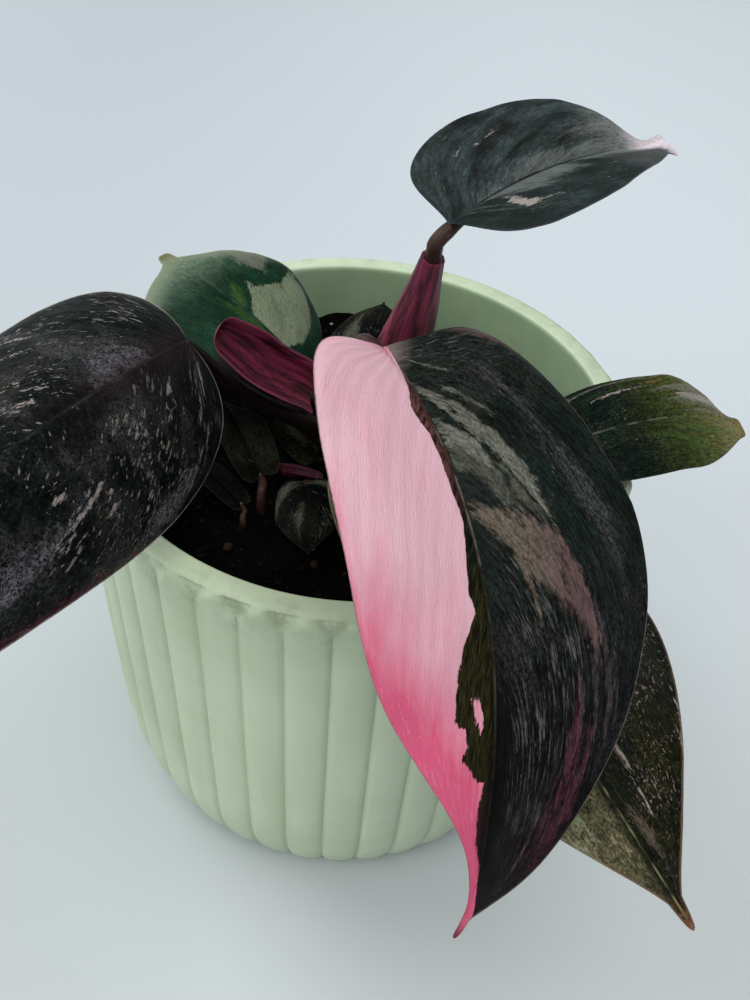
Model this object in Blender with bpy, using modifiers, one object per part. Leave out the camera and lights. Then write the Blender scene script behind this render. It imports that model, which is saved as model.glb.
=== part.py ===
"""Potted philodendron: a ribbed pot of soil, a short stem, and leaves on stalks that fan out of it.

Sizes are in millimetres and degrees here and become metres when the meshes are made.
"""
from math import cos, hypot, pi, radians, sin

import bmesh
import bpy
import numpy as np

MM = 0.001
GAP = 0.35

POT_HEIGHT = 126.0
POT_RADIUS = 69.7
LIP_WIDTH = 7.2
FLOOR = 7.5
RIBS = 42
RIB_STEPS = 3
RIB_DEPTH = 1.3
RIB_TOP = 125.1
RIB_PHASE = -pi / 2 - 0.031

SOIL_TOP = 109.5
SOIL_STEPS = 42
SOIL_BUMP = 1.3
STEM_AT = (0.0, -9.0)
STEM_RADIUS = 4.6
STEM_FOOT = 86.0
STEM_TOP = 127.5

BLADE = 0.7
SHEATH = 0.7

# Each leaf: where its blade meets the stalk, which way it heads, how it bends and how large it is.
# heading is the compass angle of the midrib from +X, rise its slope at the joint, droop how much it
# falls to the tip, swing how much it turns; left and right are the half widths; belly is where it is
# widest; lobe is how far the base reaches back; full is how long it stays wide; drip and thin shape the
# tip; fold and arch shape its section. A value that ends in _left or _right is for that half alone.
LEAVES = {
    "front": dict(at=(3.6, -42, 173.3), heading=307, rise=-13, droop=69, swing=-50, roll=-17, twist=40,
                  length=121, left=31.4, right=24.4, belly=0.32, lobe=-2.4, drip=0.1, fold=17, arch=24,
                  wave=0.5, waves=2.0, rows=(6, 10), across=4, full=0.23, thin=0, belly_right=0.255,
                  lobe_right=-1.1, full_right=0.6, drip_right=0.35),
    "left": dict(at=(-35, -27.3, 160.6), heading=250, rise=18.7, droop=26, swing=-2.8, roll=-39.7,
                 twist=31.4, length=124.5, left=30.1, right=24.8, belly=0.14, lobe=2.4, drip=0.12,
                 fold=-14, arch=34, wave=0.6, waves=2.5, rows=(6, 10), across=4, belly_left=0.18,
                 full_left=0.155, thin_left=0.56),
    "top": dict(at=(14.3, -21.3, 186.9), heading=45, rise=12.5, droop=25.8, swing=-10.5, roll=4,
                twist=10, length=65.3, left=16.6, right=19.3, belly=0.315, lobe=-1, drip=0.26,
                fold=27, arch=12.7, wave=0.4, waves=1.5, rows=(5, 8), across=4, full=0.61, thin=0.12,
                belly_right=0.235, full_right=0.38, thin_right=0.48, drip_right=0.2),
    "right": dict(at=(46, -22.4, 135.6), heading=26.4, rise=6.6, droop=44.8, swing=8.3, roll=15.5,
                  twist=10.4, length=68, left=13, right=13.9, belly=0.5, lobe=1.8, drip=0.13, fold=8,
                  arch=25.6, wave=0.3, waves=2.0, rows=(5, 8), across=4, belly_left=0.57,
                  full_left=0.63, thin_left=0, drip_left=0.26, thin_right=0.4),
    "low": dict(at=(8.3, -37.1, 139.1), heading=300.2, rise=-7.7, droop=24.4, swing=13.1, roll=15.8,
                twist=9.5, length=104, left=25.3, right=20, belly=0.5, lobe=3, drip=0.17, fold=12.4,
                arch=17.2, wave=0.5, waves=2.0, rows=(6, 9), across=4),
    "back": dict(at=(-14, 2.8, 132), heading=164.4, rise=51, droop=75, swing=-36.4, roll=0, twist=-8.7,
                 length=52.3, left=19, right=23.8, belly=0.45, lobe=-0.8, drip=0.15, fold=5,
                 arch=28.5, wave=0.3, waves=1.5, rows=(5, 8), across=4, belly_left=0.62),
    "bud_speckled": dict(at=(-9.8, -8.2, 114.8), heading=137, rise=36, droop=25, swing=0, roll=0,
                         twist=0, length=17.5, left=6.6, right=5.8, belly=0.45, lobe=0.8, drip=0.15,
                         fold=6, arch=30, wave=0.0, waves=1.0, rows=(4, 4), across=3),
    "bud_front": dict(at=(-11.4, -20.6, 116.2), heading=276, rise=2, droop=32, swing=0, roll=4,
                      twist=0, length=19.5, left=8.4, right=8.4, belly=0.42, lobe=1.4, drip=0.12,
                      fold=4, arch=45, wave=0.0, waves=1.0, rows=(4, 4), across=3),
    "bud_funnel": dict(at=(-22.6, -19.4, 117.3), heading=122, rise=32, droop=28, swing=0, roll=-8,
                       twist=0, length=22.5, left=6, right=6.4, belly=0.45, lobe=0.8, drip=0.2,
                       fold=22, arch=10, wave=0.0, waves=1.0, rows=(4, 4), across=3),
    "bud_narrow": dict(at=(-26.4, -26.2, 113.6), heading=143, rise=24, droop=22, swing=0, roll=0,
                       twist=0, length=20, left=3.6, right=3.6, belly=0.45, lobe=0.4, drip=0.2,
                       fold=14, arch=20, wave=0.0, waves=1.0, rows=(4, 4), across=2),
    "bud_back": dict(at=(-1, 8.5, 118.5), heading=80, rise=34, droop=42, swing=0, roll=0, twist=0,
                     length=37, left=14, right=13.5, belly=0.45, lobe=1.6, drip=0.12, fold=4, arch=45,
                     wave=0.0, waves=1.0, rows=(4, 5), across=3),
}

# Each stalk: points that it passes after it leaves the stem or the soil, its radius at the foot and
# at the joint, and how far it runs on under the midrib, as a share of the blade's length.
STALKS = {
    "front": dict(by=[(0.5, -15.8, 121), (1.5, -22, 137), (2.6, -32, 157)], thick=(2.2, 1.8), under=0.12),
    "left": dict(by=[(-7, -9.6, 120), (-12, -10.6, 126.6), (-22, -14.2, 135), (-29, -18.8, 144.8)],
                 thick=(3.0, 1.0), under=0.09),
    "top": dict(by=[(2.5, -10, 129.6), (6.4, -14.2, 145), (9.3, -18.6, 163), (12, -22, 180)],
                thick=(2.6, 1.5), under=0.14),
    "right": dict(by=[(6.3, -8.6, 115.5), (14, -11, 123), (30, -17, 130.5)], thick=(2.0, 1.2), under=0.14),
    "low": dict(by=[(3.9, -13.6, 114.5), (6, -20, 123), (7.4, -28, 132)], thick=(2.1, 1.3), under=0.12),
    "back": dict(by=[(-4.6, -5.2, 117.5), (-8.2, -1.8, 123.5)], thick=(1.9, 1.3), under=0.16),
    "bud_speckled": dict(by=[(-5.6, -8.2, 112.8), (-7, -8.2, 112.9)], thick=(0.9, 0.7), under=0.18),
    "bud_front": dict(by=[(-3.2, -14.8, 112.4), (-6.6, -17.6, 113)], thick=(1.0, 0.8), under=0.18),
    "bud_funnel": dict(by=[(-22, -24, 102), (-22, -24, 110), (-22, -22.4, 114)], thick=(1.5, 1.0),
                       under=0.16),
    "bud_narrow": dict(by=[(-25.6, -30, 102), (-25.6, -30, 109.5), (-25.7, -28.8, 111.8)], thick=(1.0, 0.7),
                       under=0.16),
    "bud_back": dict(by=[(0, -3.4, 114), (-0.4, 1.5, 116)], thick=(1.5, 1.0), under=0.14),
}

# Each sheath: the line of its middle, its radius along that line, how far it wraps round, and the
# side that it is open on.
SHEATHS = {
    "top": dict(by=[(4.8, -12.3, 137), (7.2, -14.4, 146), (9.9, -18.6, 163), (12.1, -22, 180)],
                radius=(6.8, 6.4, 4.9, 2.6), wrap=(215, 240, 260, 250), open=(0.2, 0.8, -0.5)),
    "left": dict(by=[(-7.5, -7.4, 133.4), (-12, -10.2, 139.2), (-20.4, -14.6, 147.4), (-30.6, -16.8, 156.6)],
                 radius=(5.4, 6.0, 5.2, 1.8), wrap=(125, 135, 135, 110), open=(-0.1, -0.55, 0.8)),
    "foot": dict(by=[(-7.9, -13.9, 113.4), (-12.6, -14.8, 115.6), (-18.2, -16.8, 118.4)],
                 radius=(2.0, 2.7, 2.2), wrap=(150, 150, 140), open=(0.0, 0.3, 1.0)),
}

LEAF_GREEN = (0.020, 0.030, 0.020)
PINK = (0.62, 0.28, 0.36)
WINE = (0.120, 0.018, 0.036)


def paint(name, colour, rough):
    """Principled material with a plain colour."""
    material = bpy.data.materials.new(name)
    material.use_nodes = True
    shader = material.node_tree.nodes["Principled BSDF"]
    shader.inputs["Base Color"].default_value = (*colour, 1.0)
    shader.inputs["Roughness"].default_value = rough
    shader.inputs["Metallic"].default_value = 0.0
    material.diffuse_color = (*colour, 1.0)
    return material


def add(name, data, collection, material=None, at=(0.0, 0.0, 0.0)):
    """Link a mesh or curve as a named object."""
    thing = bpy.data.objects.new(name, data)
    thing.location = [c * MM for c in at]
    collection.objects.link(thing)
    if material:
        data.materials.append(material)
    return thing


def bake(thing):
    """Replace an object's data with its evaluated mesh, its caps welded."""
    graph = bpy.context.evaluated_depsgraph_get()
    mesh = bpy.data.meshes.new_from_object(thing.evaluated_get(graph))
    shape = bmesh.new()
    shape.from_mesh(mesh)
    bmesh.ops.remove_doubles(shape, verts=shape.verts, dist=0.00001)
    shape.to_mesh(mesh)
    shape.free()
    name, collection, place = thing.name, thing.users_collection[0], thing.matrix_world.copy()
    bpy.data.objects.remove(thing)
    fresh = bpy.data.objects.new(name, mesh)
    fresh.matrix_world = place
    collection.objects.link(fresh)
    return fresh


def smooth(thing, angle=40):
    thing.data.shade_smooth()
    thing.data.set_sharp_from_angle(angle=radians(angle))


def turned(name, profile, steps, collection, material):
    """Turn a profile of (radius, height) points, from its inside to its outside, round Z."""
    mesh = bpy.data.meshes.new(name)
    points = [(r * MM, 0.0, z * MM) for r, z in profile]
    mesh.from_pydata(points, [(i, i + 1) for i in range(len(points) - 1)], [])
    thing = add(name, mesh, collection, material)
    screw = thing.modifiers.new("Turn", "SCREW")
    screw.steps = screw.render_steps = steps
    screw.use_merge_vertices = True
    screw.merge_threshold = 0.00001
    screw.use_smooth_shade = True
    return bake(thing)


def pot_wall(z):
    """Outer radius of the pot at a height: nearly straight, drawn in and rounded at the foot."""
    t = z / POT_HEIGHT
    belly = 0.55 * sin(pi * min(t, 0.75) / 0.75)
    foot = 6.4 * max(0.0, 1 - z / 30.0) ** 2.2
    return POT_RADIUS - 0.5 + belly - foot


def rib(angle):
    """0 in a groove and 1 on a rib."""
    turn = (angle - RIB_PHASE) * RIBS / (2 * pi)
    return 0.0 if abs(turn - round(turn)) < 0.17 else 1.0


def make_pot(collection):
    inner = POT_RADIUS - LIP_WIDTH
    profile = [(0, FLOOR), (inner - 8.0, FLOOR), (inner - 3.2, FLOOR + 5), (inner - 1.0, 60),
               (inner, POT_HEIGHT - 3.0), (inner + 0.8, POT_HEIGHT - 0.9), (inner + 2.4, POT_HEIGHT),
               (POT_RADIUS - 2.4, POT_HEIGHT), (POT_RADIUS - 0.9, RIB_TOP)]
    profile += [(pot_wall(z), z) for z in (122.6, 118.0, 113.0, 96.0, 72.0, 48.0, 28.0, 15.0, 7.0)]
    profile += [(63.2, 2.0), (61.2, 0.4), (59.6, 0), (0, 0)]
    pot = turned("pot", profile, RIBS * RIB_STEPS, collection, paint("glazed_pot", (0.56, 0.64, 0.50), 0.5))
    turn = RIB_PHASE % (2 * pi / RIBS)
    for vertex in pot.data.vertices:
        x, y, z = (c / MM for c in vertex.co)
        r = hypot(x, y)
        a = np.arctan2(y, x) + turn
        outside = r > POT_RADIUS - (7.5 if z < 60 else 3.0)
        if outside and 0.2 < z < RIB_TOP + 0.1:
            fade = 0.45 if z > RIB_TOP - 0.1 else 1.0
            r -= fade * RIB_DEPTH * (1 - rib(a))
        vertex.co = (r * cos(a) * MM, r * sin(a) * MM, z * MM)
    smooth(pot, 50)
    return pot


def soil_bump(x, y):
    wave = sin(0.31 * x + 0.9) * cos(0.27 * y - 0.4) + 0.6 * sin(0.13 * x - 0.22 * y + 2.1)
    return SOIL_BUMP * wave / 1.6


def make_soil(collection, cutters):
    inner = POT_RADIUS - LIP_WIDTH
    wall = inner - 1.0 + (SOIL_TOP - 60) / (POT_HEIGHT - 63)
    profile = [(0, SOIL_TOP), (12, SOIL_TOP), (26, SOIL_TOP), (38, SOIL_TOP), (50, SOIL_TOP),
               (wall - GAP - 0.1, SOIL_TOP - 0.6), (inner - 1.0 - GAP, 60),
               (inner - 3.2 - GAP, FLOOR + 5.2), (inner - 8.1, FLOOR + GAP), (0, FLOOR + GAP)]
    soil = turned("soil", profile, SOIL_STEPS, collection, paint("potting_soil", (0.012, 0.011, 0.010), 0.95))
    for vertex in soil.data.vertices:
        x, y, z = (c / MM for c in vertex.co)
        if z > SOIL_TOP - 0.3:
            vertex.co.z = (z + soil_bump(x, y)) * MM
    holes = [("stem_hole", STEM_AT, STEM_RADIUS, STEM_FOOT)]
    for name in ("bud_funnel", "bud_narrow"):
        x, y, z = STALKS[name]["by"][0]
        holes.append((name + "_hole", (x, y), STALKS[name]["thick"][0], z))
    for name, (x, y), radius, foot in holes:
        mesh = bpy.data.meshes.new(name)
        shape = bmesh.new()
        depth = 130 - foot
        bmesh.ops.create_cone(shape, cap_ends=True, segments=16, radius1=(radius + GAP) * MM,
                              radius2=(radius + GAP) * MM, depth=depth * MM)
        shape.to_mesh(mesh)
        shape.free()
        cutter = add(name, mesh, cutters, at=(x, y, foot - GAP + depth / 2))
        cutter.hide_render = True
        cutter.display_type = "WIRE"
        cut = soil.modifiers.new(name, "BOOLEAN")
        cut.object = cutter
        cut.solver = "EXACT"
    smooth(soil, 40)
    return soil


def bezier(p0, p1, p2, p3, count):
    t = np.linspace(0, 1, count)[:, None]
    p0, p1, p2, p3 = (np.array(p, float) for p in (p0, p1, p2, p3))
    return (1 - t) ** 3 * p0 + 3 * (1 - t) ** 2 * t * p1 + 3 * (1 - t) * t ** 2 * p2 + t ** 3 * p3


def half_outline(leaf, side):
    """Flat edge of half a blade from the joint round the lobe to the tip, as (across, along)."""
    length, width = leaf["length"], leaf[side]
    belly, lobe, full, thin, drip = (leaf.get(key + "_" + side, leaf.get(key, usual)) for key, usual in (
        ("belly", 0.4), ("lobe", 0), ("full", 0.33), ("thin", 0.3), ("drip", 0.15)))
    mid = belly * length
    low, high = leaf["rows"]
    base = bezier((0, 0), (0.45 * width, -2.2 * lobe - 0.02 * length),
                  (width, -0.35 * mid - 0.5 * lobe), (width, mid), low + 1)
    tip = bezier((width, mid), (width, mid + full * (length - mid)),
                 (thin * width, length * (1 - drip)), (0, length), high + 1)
    return np.concatenate([base, tip[1:]])


def rib_frame(leaf, along):
    """Point, direction, left side and upper side of the midrib at a distance from the joint."""
    count = 60
    t = np.linspace(0, 1, count)
    pitch = np.radians(leaf["rise"] - leaf["droop"] * t)
    head = np.radians(leaf["heading"] + leaf["swing"] * t)
    T = np.stack([np.cos(pitch) * np.cos(head), np.cos(pitch) * np.sin(head), np.sin(pitch)], axis=1)
    step = leaf["length"] / (count - 1)
    P = np.array(leaf["at"], float) + np.concatenate([[[0, 0, 0]], np.cumsum((T[1:] + T[:-1]) / 2 * step, axis=0)])
    B = np.stack([-np.sin(head), np.cos(head), np.zeros(count)], axis=1)
    N = np.cross(T, B)
    roll = np.radians(leaf["roll"] + leaf["twist"] * t)
    c, s = np.cos(roll)[:, None], np.sin(roll)[:, None]
    B, N = c * B + s * N, -s * B + c * N
    u = np.clip(along / leaf["length"], 0, 1) * (count - 1)
    i = min(int(u), count - 2)
    w = u - i
    p, tt, bb, nn = (A[i] * (1 - w) + A[i + 1] * w for A in (P, T, B, N))
    return p + tt * min(along, 0.0), tt, bb, nn


def blade_point(leaf, across, along):
    """Where a point of the flat blade lies once it is folded, arched, waved and bent."""
    p, _, side, up = rib_frame(leaf, along)
    width = (leaf["left"] + leaf["right"]) / 2
    first, k = radians(leaf["fold"]), radians(leaf["arch"]) / width
    b = abs(across)
    slope = first - k * b
    x = (sin(first) - sin(slope)) / k
    z = (cos(slope) - cos(first)) / k
    phase = 0.0 if across > 0 else 1.9
    z += leaf["wave"] * (b / width) ** 2 * sin(2 * pi * leaf["waves"] * along / leaf["length"] + phase)
    return p + side * (x if across > 0 else -x) + up * z


def sheet(name, rows, columns, where, thickness, collection, material, at):
    """A grid of rows and columns laid out by a function, split into triangles and thickened."""
    shape = bmesh.new()
    bmesh.ops.create_grid(shape, x_segments=rows, y_segments=columns, size=0.5)
    for vertex in shape.verts:
        i = round((vertex.co.x + 0.5) * rows)
        j = round((vertex.co.y + 0.5) * columns)
        vertex.co = [(a - b) * MM for a, b in zip(where(i, j), at)]
    bmesh.ops.remove_doubles(shape, verts=shape.verts, dist=0.00002)
    bmesh.ops.triangulate(shape, faces=shape.faces, quad_method="SHORT_EDGE")
    bmesh.ops.recalc_face_normals(shape, faces=shape.faces)
    mesh = bpy.data.meshes.new(name)
    shape.to_mesh(mesh)
    shape.free()
    thing = add(name, mesh, collection, material, at)
    solid = thing.modifiers.new("Thickness", "SOLIDIFY")
    solid.thickness = thickness * MM
    solid.offset = 0.0
    smooth(thing, 60)
    return thing


def make_blade(name, leaf, collection, material):
    halves = {1: half_outline(leaf, "left"), -1: half_outline(leaf, "right")}
    rows, across = sum(leaf["rows"]), leaf["across"]

    def where(i, j):
        side = 1 if j >= across else -1
        v = abs(j - across) / across
        centre = leaf["length"] * (i / rows) ** 1.25
        edge = halves[side][i]
        return blade_point(leaf, side * edge[0] * v, centre + (edge[1] - centre) * v)

    return sheet("blade_" + name, rows, 2 * across, where, BLADE, collection, material, leaf["at"])


def smooth_line(points, count):
    """Even points on a smooth curve through the given ones."""
    points = [np.array(p, float) for p in points]
    ends = [2 * points[0] - points[1]] + points + [2 * points[-1] - points[-2]]
    fine = []
    for a, b, c, d in zip(ends, ends[1:], ends[2:], ends[3:]):
        for t in np.linspace(0, 1, 12, endpoint=False):
            fine.append(0.5 * (2 * b + (c - a) * t + (2 * a - 5 * b + 4 * c - d) * t ** 2
                               + (3 * b - a - 3 * c + d) * t ** 3))
    fine = np.array(fine + [points[-1]])
    length = np.concatenate([[0], np.cumsum(np.linalg.norm(np.diff(fine, axis=0), axis=1))])
    want = np.linspace(0, length[-1], count)
    return np.stack([np.interp(want, length, fine[:, k]) for k in range(3)], axis=1), want / length[-1]


def tube(name, line, radii, collection, material):
    """A round stalk along a line, its radius changing from point to point."""
    curve = bpy.data.curves.new(name, "CURVE")
    curve.dimensions = "3D"
    curve.bevel_depth = MM
    curve.bevel_resolution = 2
    curve.use_fill_caps = True
    spline = curve.splines.new("POLY")
    spline.points.add(len(line) - 1)
    for point, (x, y, z), radius in zip(spline.points, line, radii):
        point.co = (x * MM, y * MM, z * MM, 1.0)
        point.radius = radius
    return add(name, curve, collection, material)


def make_stalk(name, stalk, leaf, collection, material):
    """A stalk from its foot to the blade, ending as the ridge under the midrib."""
    foot, top = stalk["thick"]
    keys = list(stalk["by"])
    point, ahead, _, up = rib_frame(leaf, 0.0)
    keys.append(tuple(point - ahead * 2.2 * top - up * (2.3 * top + BLADE / 2 + 2 * GAP)))
    for share in (0.01, stalk["under"] / 2, stalk["under"]):
        point, _, _, up = rib_frame(leaf, share * leaf["length"])
        drop = top * (1 - 0.55 * share / stalk["under"]) + BLADE / 2 + 1.6 * GAP
        keys.append(tuple(point - up * drop))
    line, t = smooth_line(keys, 7 + 2 * len(keys))
    reach = 1 - stalk["under"] * leaf["length"] / sum(
        np.linalg.norm(np.subtract(a, b)) for a, b in zip(keys, keys[1:]))
    radii = np.where(t < reach, foot + (top - foot) * np.minimum(t / reach, 1) ** 0.8,
                     top * (1 - 0.62 * (t - reach) / (1 - reach)))
    return tube("stalk_" + name, line, radii, collection, material)


def make_sheath(name, sheath, collection, material):
    """A leaf sheath: a trough or an open tube along a line, thin and curved round it."""
    rows, columns = 9, 6
    line, t = smooth_line(sheath["by"], rows + 1)
    keys = np.linspace(0, 1, len(sheath["radius"]))
    radius = np.interp(t, keys, sheath["radius"])
    wrap = np.radians(np.interp(t, keys, sheath["wrap"]))
    along = np.gradient(line, axis=0)
    along /= np.linalg.norm(along, axis=1)[:, None]
    face = np.array(sheath["open"], float)
    at = tuple(line[0])

    def where(i, j):
        front = face - along[i] * (face @ along[i])
        front /= np.linalg.norm(front)
        side = np.cross(front, along[i])
        a = wrap[i] * (j / columns - 0.5)
        return line[i] + radius[i] * (sin(a) * side - cos(a) * front)

    return sheet("sheath_" + name, rows, columns, where, SHEATH, collection, material, at)


def make_stem(collection, material):
    x, y = STEM_AT
    line = [(x, y, STEM_FOOT), (x, y, 100), (x, y, 111), (x, y, 117), (x, y, 123), (x, y, 126),
            (x, y, STEM_TOP)]
    radii = [STEM_RADIUS, STEM_RADIUS, STEM_RADIUS, 4.2, 3.9, 3.3, 2.0]
    return tube("stem", line, radii, collection, material)


def main():
    for thing in list(bpy.data.objects):
        bpy.data.objects.remove(thing)
    plant = bpy.data.collections.new("potted_philodendron")
    cutters = bpy.data.collections.new("cutters")
    bpy.context.scene.collection.children.link(plant)
    bpy.context.scene.collection.children.link(cutters)
    make_pot(plant)
    make_soil(plant, cutters)
    make_stem(plant, paint("stem_green", (0.05, 0.06, 0.03), 0.6))
    stalk_paint = paint("stalk_wine", WINE, 0.45)
    sheath_paint = paint("sheath_crimson", (0.19, 0.015, 0.055), 0.45)
    for name, leaf in LEAVES.items():
        colour = tuple(0.5 * (a + b) for a, b in zip(LEAF_GREEN, PINK)) if name == "front" else LEAF_GREEN
        make_blade(name, leaf, plant, paint("leaf_" + name, colour, 0.35))
        make_stalk(name, STALKS[name], leaf, plant, stalk_paint)
    for name, sheath in SHEATHS.items():
        make_sheath(name, sheath, plant, sheath_paint)


main()
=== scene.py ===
"""Potted philodendron: a ribbed mint pot of dark soil with large leaves, one of them half pink.

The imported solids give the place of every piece. Each is dressed here by a finer piece in a
procedural finish. Lengths in the tables are millimetres; the settings in the sidebar are metres.
"""
from math import cos, hypot, pi, radians, sin

import bmesh
import bpy
import numpy as np
from bpy.props import FloatProperty, FloatVectorProperty, IntProperty, PointerProperty
from bpy.types import Operator, Panel, PropertyGroup
from mathutils import Matrix, Vector, noise


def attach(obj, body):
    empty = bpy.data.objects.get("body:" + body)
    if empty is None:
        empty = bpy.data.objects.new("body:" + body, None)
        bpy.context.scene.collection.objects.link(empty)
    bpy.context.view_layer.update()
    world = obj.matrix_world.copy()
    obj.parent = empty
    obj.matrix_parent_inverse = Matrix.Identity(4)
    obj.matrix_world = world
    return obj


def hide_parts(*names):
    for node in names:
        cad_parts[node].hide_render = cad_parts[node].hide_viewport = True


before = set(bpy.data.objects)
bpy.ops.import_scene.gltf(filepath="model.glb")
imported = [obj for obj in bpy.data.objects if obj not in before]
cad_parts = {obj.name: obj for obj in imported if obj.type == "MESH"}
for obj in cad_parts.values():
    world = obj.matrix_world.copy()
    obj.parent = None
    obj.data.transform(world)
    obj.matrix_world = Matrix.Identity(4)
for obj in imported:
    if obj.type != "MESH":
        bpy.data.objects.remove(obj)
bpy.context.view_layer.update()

bl_info = {
    "name": "Potted philodendron",
    "version": (1, 0, 0),
    "blender": (4, 5, 0),
    "location": "3D View > Sidebar > Philodendron",
    "description": "Builds a potted philodendron with variegated leaves round its packed solids",
    "category": "Object",
}

MM = 0.001

# The pot and its soil. RIB_PHASE turns the ribs to where the photograph shows them, and grains lie on the
# soil as far out as GRAIN_SPREAD.
POT_HEIGHT = 126.0
POT_RADIUS = 69.7
LIP_WIDTH = 7.2
POT_FLOOR = 7.5
RIBS = 42
RIB_STEPS = 14
RIB_TOP = 125.2
RIB_PHASE = -pi / 2 - 0.031

SOIL_TOP = 109.5
SOIL_RADIUS = 61.6
SOIL_BUMP = 1.3
GRAIN_SPREAD = 60.0

# Side veins leave the midrib and run towards the tip: sweep is how far, as a share of the length.
VEIN_SWEEP = 0.5
VEIN_CURVE = 1.2
SIDE_VEINS = 15

# Points along a midrib at which its bend is worked out, and what a mark's field says far outside it.
BEND_STEPS = 60
OUTSIDE = -9.0

# Swells of a blade, with height and size as shares of its length and the shift of their noise; and how
# thin a blade gets at its margin, as a share of its thickness, and over which width.
SWELLS = ((0.012, 0.22, 0.0), (0.004, 0.09, 5.0))
MARGIN_SHARE = 0.32
MARGIN_WIDTH = 1.6

# Each leaf: where its blade meets the stalk, which way it heads and how it bends; its half widths and
# outline; then how fine its mesh is. A value that ends in _left or _right is for that half alone.
# tail is where the drip tip starts, as a share of the length, with its half widths, and flare widens its
# end; curl lifts the tip, pushes it to the left and may turn it by a slope. end cuts the tip short, flat
# opens its fold, and shoulder moves the two handles of the curve round the lobe. SMALL_LEAF is what the small
# leaves share.
SMALL_LEAF = dict(
    swing=0, twist=0, wave=0.0, waves=1.0, rows=(4, 4), tail=(0.97, 0.3, 0.3), curl=(0.3, 0.0), fine=6)
LEAVES = {
    "front": dict(
        at=(3.6, -42, 173.3), heading=307, rise=-13, droop=69, swing=-50, roll=-17, twist=40, length=121,
        left=31.4, right=24.4, belly=0.32, lobe=-2.4, drip=0.1, fold=17, arch=24, wave=0.5, waves=2.0,
        rows=(6, 10), full=0.23, thin=0, shoulder_left=(0.64, 0.88), belly_right=0.255, lobe_right=-1.1,
        full_right=0.6, drip_right=0.35, tail=(0.95, 0.65, 0.7), curl=(1.0, -1.2), fine=9, across=52),
    "left": dict(
        at=(-35, -27.3, 160.6), heading=250, rise=18.7, droop=26, swing=-2.8, roll=-39.7, twist=31.4,
        length=124.5, left=30.1, right=24.8, belly=0.14, lobe=2.4, drip=0.12, fold=-14, arch=34, wave=0.6,
        waves=2.5, rows=(6, 10), belly_left=0.18, full_left=0.155, thin_left=0.56, tail=(0.97, 0.5, 0.5),
        curl=(-1.0, 0.0), fine=9, across=52),
    "top": dict(
        at=(14.3, -21.3, 186.9), heading=45, rise=12.5, droop=25.8, swing=-10.5, roll=4, twist=10,
        length=65.3, left=16.6, right=19.3, belly=0.315, lobe=-1, drip=0.26, fold=27, arch=12.7, wave=0.4,
        waves=1.5, rows=(5, 8), full=0.61, thin=0.12, belly_right=0.235, full_right=0.38, thin_right=0.48,
        drip_right=0.2, tail=(0.89, 1.3, 5.4), flare=0.25, curl=(3.0, 1.3, 0.35), flat=1.2, end=0.95, fine=9,
        across=40),
    "right": dict(
        at=(46, -22.4, 135.6), heading=26.4, rise=6.6, droop=44.8, swing=8.3, roll=15.5, twist=10.4,
        length=68, left=13, right=13.9, belly=0.5, lobe=1.8, drip=0.13, fold=8, arch=25.6, wave=0.3,
        waves=2.0, rows=(5, 8), belly_left=0.57, full_left=0.63, thin_left=0, drip_left=0.26, thin_right=0.4,
        tail=(0.965, 2.2, 3.8), curl=(1.0, 0.0), fine=8, across=36),
    "low": dict(
        at=(8.3, -37.1, 139.1), heading=300.2, rise=-7.7, droop=24.4, swing=13.1, roll=15.8, twist=9.5,
        length=104, left=25.3, right=20, belly=0.5, lobe=3, drip=0.17, fold=12.4, arch=17.2, wave=0.5,
        waves=2.0, rows=(6, 9), tail=(0.94, 1.5, 1.5), flare=-0.55, curl=(0.5, 0.0), fine=8, across=42),
    "back": dict(
        at=(-14, 2.8, 132), heading=164.4, rise=51, droop=75, swing=-36.4, roll=0, twist=-8.7, length=52.3,
        left=19, right=23.8, belly=0.45, lobe=-0.8, drip=0.15, fold=5, arch=28.5, wave=0.3, waves=1.5,
        rows=(5, 8), belly_left=0.62, tail=(0.93, 2.2, 2.2), curl=(1.6, 0.0), fine=7, across=36),
    "bud_speckled": dict(
        SMALL_LEAF, at=(-9.8, -8.2, 114.8), heading=137, rise=36, droop=25, roll=0, length=17.5, left=6.6,
        right=5.8, belly=0.45, lobe=0.8, drip=0.15, fold=6, arch=30, across=18),
    "bud_front": dict(
        SMALL_LEAF, at=(-11.4, -20.6, 116.2), heading=276, rise=2, droop=32, roll=4, length=19.5, left=8.4,
        right=8.4, belly=0.42, lobe=1.4, drip=0.12, fold=4, arch=45, across=20),
    "bud_funnel": dict(
        SMALL_LEAF, at=(-22.6, -19.4, 117.3), heading=122, rise=32, droop=28, roll=-8, length=22.5, left=6,
        right=6.4, belly=0.45, lobe=0.8, drip=0.2, fold=22, arch=10, across=18),
    "bud_narrow": dict(
        SMALL_LEAF, at=(-26.4, -26.2, 113.6), heading=143, rise=24, droop=22, roll=0, length=20, left=3.6,
        right=3.6, belly=0.45, lobe=0.4, drip=0.2, fold=14, arch=20, across=14),
    "bud_back": dict(
        SMALL_LEAF, at=(-1, 8.5, 118.5), heading=80, rise=34, droop=42, roll=0, length=37, left=14,
        right=13.5, belly=0.45, lobe=1.6, drip=0.12, fold=4, arch=45, rows=(4, 5), tail=(0.97, 0.4, 0.4),
        across=24),
}

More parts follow.
